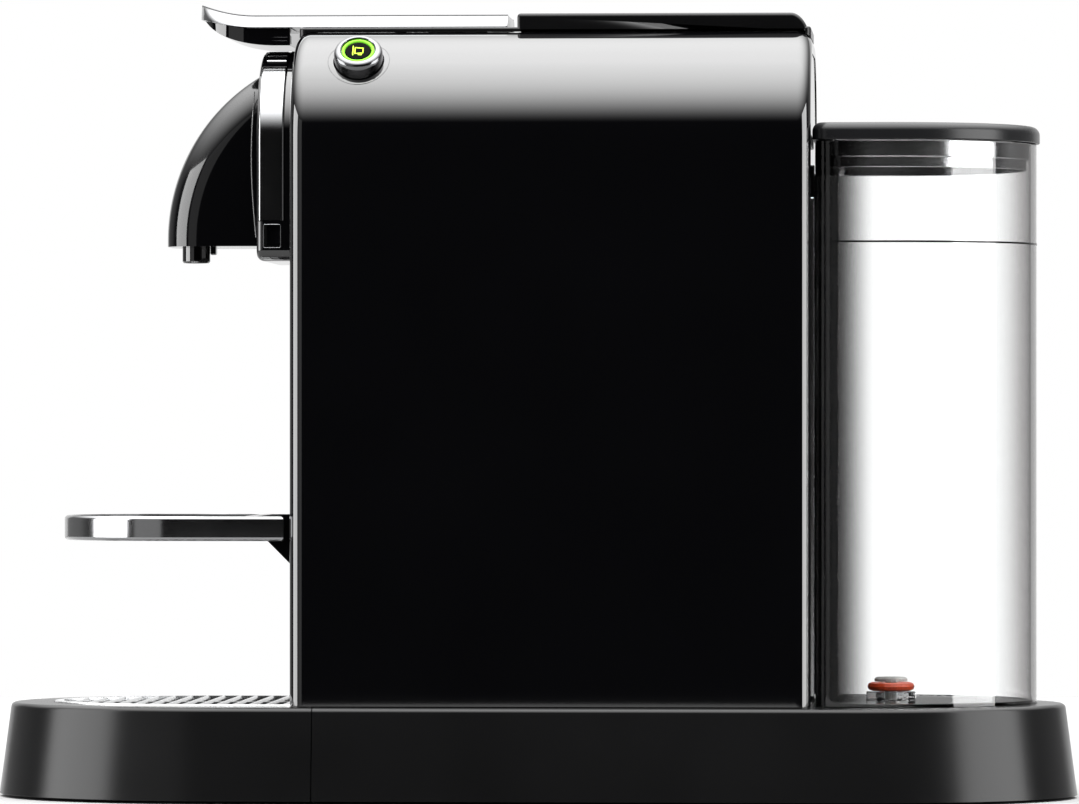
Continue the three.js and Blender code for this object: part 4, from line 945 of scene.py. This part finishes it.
HEAD_SHOULDER = 32
HEAD_CORNER = 4
HEAD_EDGE = 2.4
TRIM_THICK = 1.1
RIB_BASE = 6.2  # the chrome stops this far below the head's top
RIB_DROPS = (0.7, 2.2, 4.0)
WINDOW_LOW = (trim_low.x + 1.6, head_low.z + 4.4)
WINDOW_HIGH = (trim_high.x - 1, trim_low.z - 1.2)


def head_outline(inset):
    """The head's section: arched on top, with slightly rounded lower corners."""
    half = head_high.y - inset
    low = head_low.z + inset
    shoulder = HEAD_SHOULDER - inset
    corner = HEAD_CORNER - inset / 2
    y, z = half - shoulder, head_high.z - inset - shoulder
    return (
        arc((corner - half, low + corner), corner, 2 * QUARTER, 3 * QUARTER, 6)
        + arc((half - corner, low + corner), corner, -QUARTER, 0, 6)
        + arc((y, z), shoulder, 0, QUARTER, 40)
        + arc((-y, z), shoulder, QUARTER, 2 * QUARTER, 40)
    )


def head_block(name, inset, front, rear, edge=0.0):
    return prism(name, head_outline(inset), "x", front, rear, edge, 6)


def make_head_body():
    """The brewing head: hollow, grooved for its trim, with an outlet and a window in each side."""
    body = head_block("head_body", 0, head_low.x, head_high.x + HEAD_EDGE, HEAD_EDGE)
    keep(body, before(x=head_high.x))
    groove = head_block("tool", -1, trim_low.x - GAP, trim_high.x + GAP)
    cut(groove, head_block("tool", TRIM_THICK + GAP, -SPAN, SPAN))
    keep(groove, beyond(z=trim_low.z - GAP))
    hollow = head_block("tool", WALL, head_low.x + WALL, SPAN)
    _, channel_high = mm_box("coffee_channel")
    middle = channel_high.z - 3.6
    outlet = block("tool", (-SPAN, -8, middle - 6), (SPAN, 8, middle + 6))
    windows = []
    for sign, _ in SIDES:
        a, b = sorted((sign * (head_high.y - 1.3), sign * 60))
        windows.append(prism("tool", rounded(*WINDOW_LOW, *WINDOW_HIGH, 0.6), "y", a, b))
    cut(body, groove, hollow, outlet, *windows)
    smooth(body, 35)
    place(body, "root", "gloss_black", "head_frame")


def make_head_trim():
    """The chrome band round the head, black ribs with chrome lines above it, and the windows' rims."""
    split = head_high.z - RIB_BASE
    band = head_block("head_band", 0, trim_low.x, trim_high.x, 0.8)
    cut(band, head_block("tool", TRIM_THICK, -SPAN, SPAN))
    keep(band, block("tool", (-SPAN, -SPAN, trim_low.z), (SPAN, SPAN, split)))
    smooth(band, 35)
    place(band, "root", "chrome", "head_trim", finish="bar_chrome")
    ribs = head_block("head_ribs", 0.25, trim_low.x + 0.2, trim_high.x)
    cut(ribs, head_block("tool", TRIM_THICK, -SPAN, SPAN))
    keep(ribs, beyond(z=split))
    smooth(ribs, 35, 0.2, 2)
    place(ribs, "root", "gloss_black")
    front, rear = trim_low.x + 1.5, trim_high.x - 0.6
    for i, drop in enumerate(RIB_DROPS):
        z = head_high.z - drop
        y = head_high.y - HEAD_SHOULDER + math.sqrt(HEAD_SHOULDER**2 - (HEAD_SHOULDER - drop) ** 2)
        for sign, name in SIDES:
            line = tube("head_rib_%s_%d" % (name, i), [(front, sign * y, z), (rear, sign * y, z)], 0.3)
            smooth(line)
            place(line, "root", "chrome")
    (x0, z0), (x1, z1) = WINDOW_LOW, WINDOW_HIGH
    for sign, name in SIDES:
        a, b = sorted((sign * (head_high.y - 1.25), sign * (head_high.y - 0.1)))
        rim = prism("window_rim_" + name, rounded(x0, z0, x1, z1, 0.6), "y", a, b, 0.2)
        cut(rim, prism("tool", rounded(x0 + 1.3, z0 + 0.5, x1 - 0.4, z1 - 0.6, 0.5), "y", -60, 60))
        smooth(rim, 35)
        place(rim, "root", "chrome")


def spout_side(inset):
    """The spout from the side: a quarter round that falls from the head to the outlet."""
    radius = SPOUT_RADIUS - inset
    low = spout_low.z - 30
    back = head_low.x + 60
    return (
        [(back, low), (SPOUT_X - radius, low)]
        + arc((SPOUT_X, SPOUT_Z), radius, math.pi, QUARTER, 64)
        + [(back, SPOUT_Z + radius)]
    )


def make_spout():
    half = spout_high.y
    shell = prism("spout_shell", spout_side(0), "y", -half, half, SPOUT_EDGE, 16)
    keep(shell, block("tool", (-SPAN, -SPAN, spout_low.z), (spout_high.x, SPAN, SPAN)))
    hollow = prism("tool", spout_side(WALL), "y", WALL - half, half - WALL, SPOUT_EDGE - WALL, 6)
    keep(hollow, beyond(z=spout_low.z + WALL))
    bore = rod("tool", "z", NOZZLE_X, 0, 150, 200, NOZZLE_RADIUS + GAP)
    cut(shell, hollow, bore)
    smooth(shell, 35)
    place(shell, "root", "gloss_black", "spout_housing", finish="spout_black")


def make_spout_details():
    """The outlet pipe, a lug beside it, and the fine seams where the spout meets the head."""
    radius = NOZZLE_RADIUS
    profile = [
        (radius - 1.4, nozzle_high.z), (radius - 1.4, nozzle_low.z + 0.8), (radius - 1.1, nozzle_low.z),
        (radius - 0.5, nozzle_low.z), (radius, nozzle_low.z + 0.6), (radius, nozzle_high.z),
    ]
    pipe = turned("nozzle", profile, Matrix.Translation(Vector((NOZZLE_X, 0, 0)) * MM))
    smooth(pipe, 35)
    place(pipe, "root", "gloss_black", "outlet_nozzle")
    front, low = nozzle_high.x + GAP, spout_low.z
    lug = block("spout_lug", (front, -2.2, low - 2.6), (front + 1.9, 2.2, low + 0.5), 0.5)
    smooth(lug, 35)
    place(lug, "root", "gloss_black")
    seam = []
    steps = 12
    for i in range(steps + 1):
        t = i / steps
        x = head_low.x - 1.4 - 1.6 * math.sin(math.pi * t * 0.9)
        seam.append((x, spout_high.y + 0.02, low + 3 + (spout_high.z - low - 9) * t))
    for sign, name in SIDES:
        line = tube("spout_seam_" + name, [(x, sign * y, z) for x, y, z in seam], 0.18)
        smooth(line)
        place(line, "root", "silver_plastic")


make_head_body()
make_head_trim()
make_spout()
make_spout_details()


# ---------- cup support and capsule drawer ----------

ring_low, ring_high = mm_box("cup_support_ring")
pin_low, pin_high = mm_box("support_pin")
pivot = (pin_low + pin_high) / 2
SUPPORT_WALL = 2.2
SLAT = 4  # width of the plate's rim and of its slots
SLAT_PITCH = 7
PIN_BORE = 2.3
SCOOP_RADIUS = 7.5
EAR_RADIUS = 4.2
EAR_WIDTH = 3


def support_plan(inset):
    """The cup support seen from above: straight sides and a round front."""
    radius = ring_high.y - inset
    centre = ring_low.x + ring_high.y
    rear = ring_high.x
    return [(rear, -radius), (rear, radius)] + arc((centre, 0), radius, QUARTER, 3 * QUARTER, 64)


def make_support():
    """The cup support's chrome ring, open in the middle and bored for its pin."""
    low, high = ring_low.z, ring_high.z
    ring = prism("cup_ring", support_plan(0), "z", low, high, 1.3, 5)
    opening = prism("tool", support_plan(SUPPORT_WALL), "z", low - 1, high + 1)
    keep(opening, before(x=pivot.x - 10))
    slot = prism("tool", support_plan(SUPPORT_WALL), "z", low - 1, high + 1)
    keep(slot, beyond(x=pivot.x - 7))
    bore = rod("tool", "y", pivot.x, pivot.z, pin_low.y - GAP, pin_high.y + GAP, PIN_BORE)
    cut(ring, opening, slot, bore)
    smooth(ring, 35, 0.2, 2)
    place(ring, "cup_support", "chrome", "cup_support_ring", finish="bar_chrome")


def make_plate():
    """The slotted steel plate inside the support's ring."""
    plate_low, plate_high = mm_box("cup_support_grid")
    ledge = SUPPORT_WALL + GAP
    plate = prism("cup_plate", support_plan(ledge), "z", plate_low.z, plate_high.z, 0.4, 3)
    keep(plate, before(x=plate_high.x))
    inner = prism("tool", support_plan(ledge + SLAT), "z", plate_low.z - ABOVE, plate_high.z + ABOVE)
    keep(inner, before(x=plate_high.x - SLAT))
    x = plate_low.x + 5.5
    while x < plate_high.x - SLAT:
        slot = prism("tool", rounded(x, -60, x + SLAT, 60, 1.9), "z", plate_low.z - 2, plate_high.z + 2)
        keep(slot, twin_of(inner))
        cut(plate, slot)
        x += SLAT_PITCH
    bpy.data.objects.remove(inner)
    smooth(plate, 35)
    place(plate, "cup_support", "steel", "cup_support_grid")


def make_drawer_front():
    """The capsule drawer's front: a panel with a finger scoop and two hinge lugs."""
    low, high = mm_box("container_front")
    front = casing_low.x - GAP
    rear = high.x
    half = high.y
    panel = prism("drawer_front", rounded(-half, low.z, half, high.z, 3), "x", front, rear, 0.8, 4)
    scoop = rod("tool", "y", front - 6, high.z - 6, -16, 16, SCOOP_RADIUS, 64)
    cut(panel, scoop)
    reach = ring_high.y - SUPPORT_WALL - 3.6
    ear = [(front + GAP, pivot.z - 13), (front + GAP, pivot.z + 5)]
    ear += arc((pivot.x, pivot.z), EAR_RADIUS, QUARTER, QUARTER * 2.5, 20)
    ears = []
    for sign, _ in SIDES:
        a, b = sorted((sign * reach, sign * (reach + EAR_WIDTH)))
        ears.append(prism("tool", ear, "y", a, b))
    join(panel, *ears)
    cut(panel, rod("tool", "y", pivot.x, pivot.z, -50, 50, PIN_BORE))
    smooth(panel, 35)
    place(panel, "drip_module", "gloss_black", "container_front")


make_support()
make_plate()
make_drawer_front()


# ---------- buttons ----------

PROUD = 5.2  # how far a button stands out of the shoulder
LIGHT_OUTER = 5.55
LIGHT_INNER = 4.35
CAP_EDGE = 2.2
FLANGE = (-5.6, -4.4)  # depths of the rim that holds a button in
DISH_RADIUS = 10.5
STROKE = 0.16  # half the width of the icon's lines


def make_icon(name, sign, matrix):
    """A plain cup outline beside a short upright line, raised on the button's disc."""
    height = PROUD - 0.62
    strokes = [
        [(-1.7, -2.2), (-1.7, 2.2)],
        [(-1.0, 1.5), (1.7, 1.2), (1.7, -1.2), (-1.0, -1.5), (-1.0, 1.5)],
        [(0.2, -1.5), (0.2, -2.1), (1.2, -2.1), (1.2, -1.4)],
    ]
    bm = bmesh.new()
    for stroke in strokes:
        for (x0, y0), (x1, y1) in zip(stroke, stroke[1:]):
            run = Vector((x1 - x0, y1 - y0, 0)).normalized() * STROKE
            across = Vector((-run.y, run.x, 0))
            a = Vector((x0, y0, height)) - run
            b = Vector((x1, y1, height)) + run
            lower = [bm.verts.new(v * MM) for v in (a - across, b - across, b + across, a + across)]
            upper = [bm.verts.new(v.co + Vector((0, 0, 0.1)) * MM) for v in lower]
            bm.faces.new(lower)
            bm.faces.new(upper)
            for i in range(4):
                j = (i + 1) % 4
                bm.faces.new((lower[i], lower[j], upper[j], upper[i]))
    bm.transform(matrix @ Matrix.Rotation(0 if sign < 0 else math.pi, 4, "Z"))
    return from_bmesh("icon_" + name, bm)


def make_dish(name, sign):
    """A fine line round a button where the casing dips to it."""
    course = []
    steps = 48
    for i in range(steps + 1):
        turn = 2 * math.pi * i / steps
        lean = math.pi / 4 + DISH_RADIUS * math.sin(turn) / SHOULDER
        y = SHOULDER_Y + SHOULDER * math.cos(lean)
        x = BUTTON_X + DISH_RADIUS * math.cos(turn)
        course.append((x, sign * y, SHOULDER_Z + SHOULDER * math.sin(lean)))
    circle = tube("button_dish_" + name, course, 0.1)
    smooth(circle)
    place(circle, "root", "gloss_black")


def make_button(name, sign):
    """A metal cap with a ring of light round a dark disc, and the icon on it."""
    matrix = button_matrix(sign)
    rim = LIGHT_OUTER + GAP
    inner = LIGHT_INNER + GAP
    face = PROUD - 2.2
    r = BUTTON_RADIUS
    back, front = FLANGE
    cap = [(0, -9), (2, -9), (2, back), (r + 1.3, back), (r + 1.3, front), (r, front)]
    cap += arc((r - CAP_EDGE, PROUD - CAP_EDGE), CAP_EDGE, 0, QUARTER, 12)
    cap += [(rim + 0.25, PROUD), (rim, PROUD - 0.25), (rim, face), (0, face)]
    body = turned("button_cap_" + name, cap, matrix, 96)
    smooth(body, 40)
    place(body, "button_" + name, "chrome", "button_" + name, finish="button_metal")
    make_dish(name, sign)
    lamp = [(inner, face + GAP), (LIGHT_OUTER, face + GAP), (LIGHT_OUTER, PROUD - 0.6)]
    lamp += [(LIGHT_OUTER - 0.2, PROUD - 0.4), (inner + 0.2, PROUD - 0.4), (inner, PROUD - 0.6)]
    light = turned("button_lamp_" + name, lamp, matrix, 96)
    smooth(light, 40)
    place(light, "button_" + name, "green_light", "button_light_" + name)
    disc = [(0, face + GAP), (LIGHT_INNER, face + GAP), (LIGHT_INNER, PROUD - 0.9)]
    disc += [(LIGHT_INNER - 0.25, PROUD - 0.68), (0, PROUD - 0.6)]
    pad = turned("button_pad_" + name, disc, matrix, 96)
    smooth(pad, 40)
    place(pad, "button_" + name, "gloss_black", "button_disc_" + name, finish="display_black")
    icon = make_icon(name, sign, matrix)
    smooth(icon, 30)
    place(icon, "button_" + name, "green_light", finish="icon_light")


for button_sign, button_name in SIDES:
    make_button(button_name, button_sign)


# ---------- water tank ----------

lid_low, lid_high = mm_box("tank_lid")
skirt_low, skirt_high = mm_box("lid_skirt")
seal_low, _ = mm_box("valve_seal")
TANK_WALL = 2.2
TANK_FLOOR = 2.5
TANK_BOTTOM = 31
COLLAR_RADIUS = 8.5
SPIGOT_RADIUS = 5.2
OUTLET_RADIUS = 3.7
MAX_LINE = 190  # height of the fill line
LINE_HALF = 0.32
LID_LIP = 1.1
LID_EDGE = 2.9
COLLAR_STEP = 3.6


def make_tank():
    """The clear tank with its outlet, and the fill line on its near side."""
    outlet = mm_middle("valve_seal").x
    wall_top = tank_high.z
    body = prism("tank_wall", tank_plan(0), "z", TANK_BOTTOM, wall_top)
    cut(body, prism("tool", tank_plan(TANK_WALL), "z", TANK_BOTTOM + TANK_FLOOR, wall_top + 1))
    collar = rod("tool", "z", outlet, 0, TANK_BOTTOM + 2, seal_low.z - GAP, COLLAR_RADIUS)
    spigot = rod("tool", "z", outlet, 0, tank_low.z, TANK_BOTTOM + 1, SPIGOT_RADIUS)
    join(body, collar, spigot)
    cut(body, rod("tool", "z", outlet, 0, 0, 60, OUTLET_RADIUS))
    smooth(body, 35, 0.35, 3)
    place(body, "tank", "clear_plastic", "tank_body")
    low, high = MAX_LINE - LINE_HALF, MAX_LINE + LINE_HALF
    line = prism("max_line", tank_plan(-0.12), "z", low, high)
    cut(line, prism("tool", tank_plan(-0.02), "z", low - 1, high + 1))
    keep(line, block("tool", (tank_low.x + TANK_CORNER, -SPAN, -SPAN), (SPAN, 0, SPAN)))
    smooth(line)
    place(line, "tank", "satin_black")


def make_lid():
    """The tank's lid and the stepped collar that holds it in the tank's mouth."""
    lid = prism("lid_top", tank_plan(-LID_LIP), "z", lid_low.z - 4, lid_high.z, LID_EDGE, 8)
    keep(lid, beyond(z=lid_low.z))
    smooth(lid, 35, 0.4, 3)
    place(lid, "tank_lid", "lid_grey", "tank_lid")
    fit = TANK_WALL + 0.4
    step = skirt_low.z + COLLAR_STEP
    upper = prism("lid_collar", tank_plan(fit), "z", step, skirt_high.z)
    lower = prism("tool", tank_plan(fit + 0.9), "z", skirt_low.z, step + 0.5)
    join(upper, lower)
    cut(upper, prism("tool", tank_plan(fit + 1.8), "z", 0, SPAN))
    smooth(upper, 35, 0.25, 2)
    place(upper, "tank_lid", "silver_plastic", "lid_skirt")


def make_rails():
    """Two guide rails for the tank on the casing's rear, each with a bright strip beside it."""
    front = casing_high.x - 0.1
    rear = tank_low.x - 0.4
    for sign, side in SIDES:
        for label, spread, corner, low, high, slot in (
            ("tank_rail_", (39, 43), 0.5, 34, 216, "gloss_black"),
            ("rail_strip_", (43.4, 46), 0.4, 36, 205, "silver_plastic"),
        ):
            a, b = sorted(sign * y for y in spread)
            rail = prism(label + side, rounded(front - 2.5, a, rear, b, corner), "z", low, high, 0.4, 3)
            smooth(rail, 35)
            place(rail, "root", slot)


make_tank()
make_lid()
make_rails()
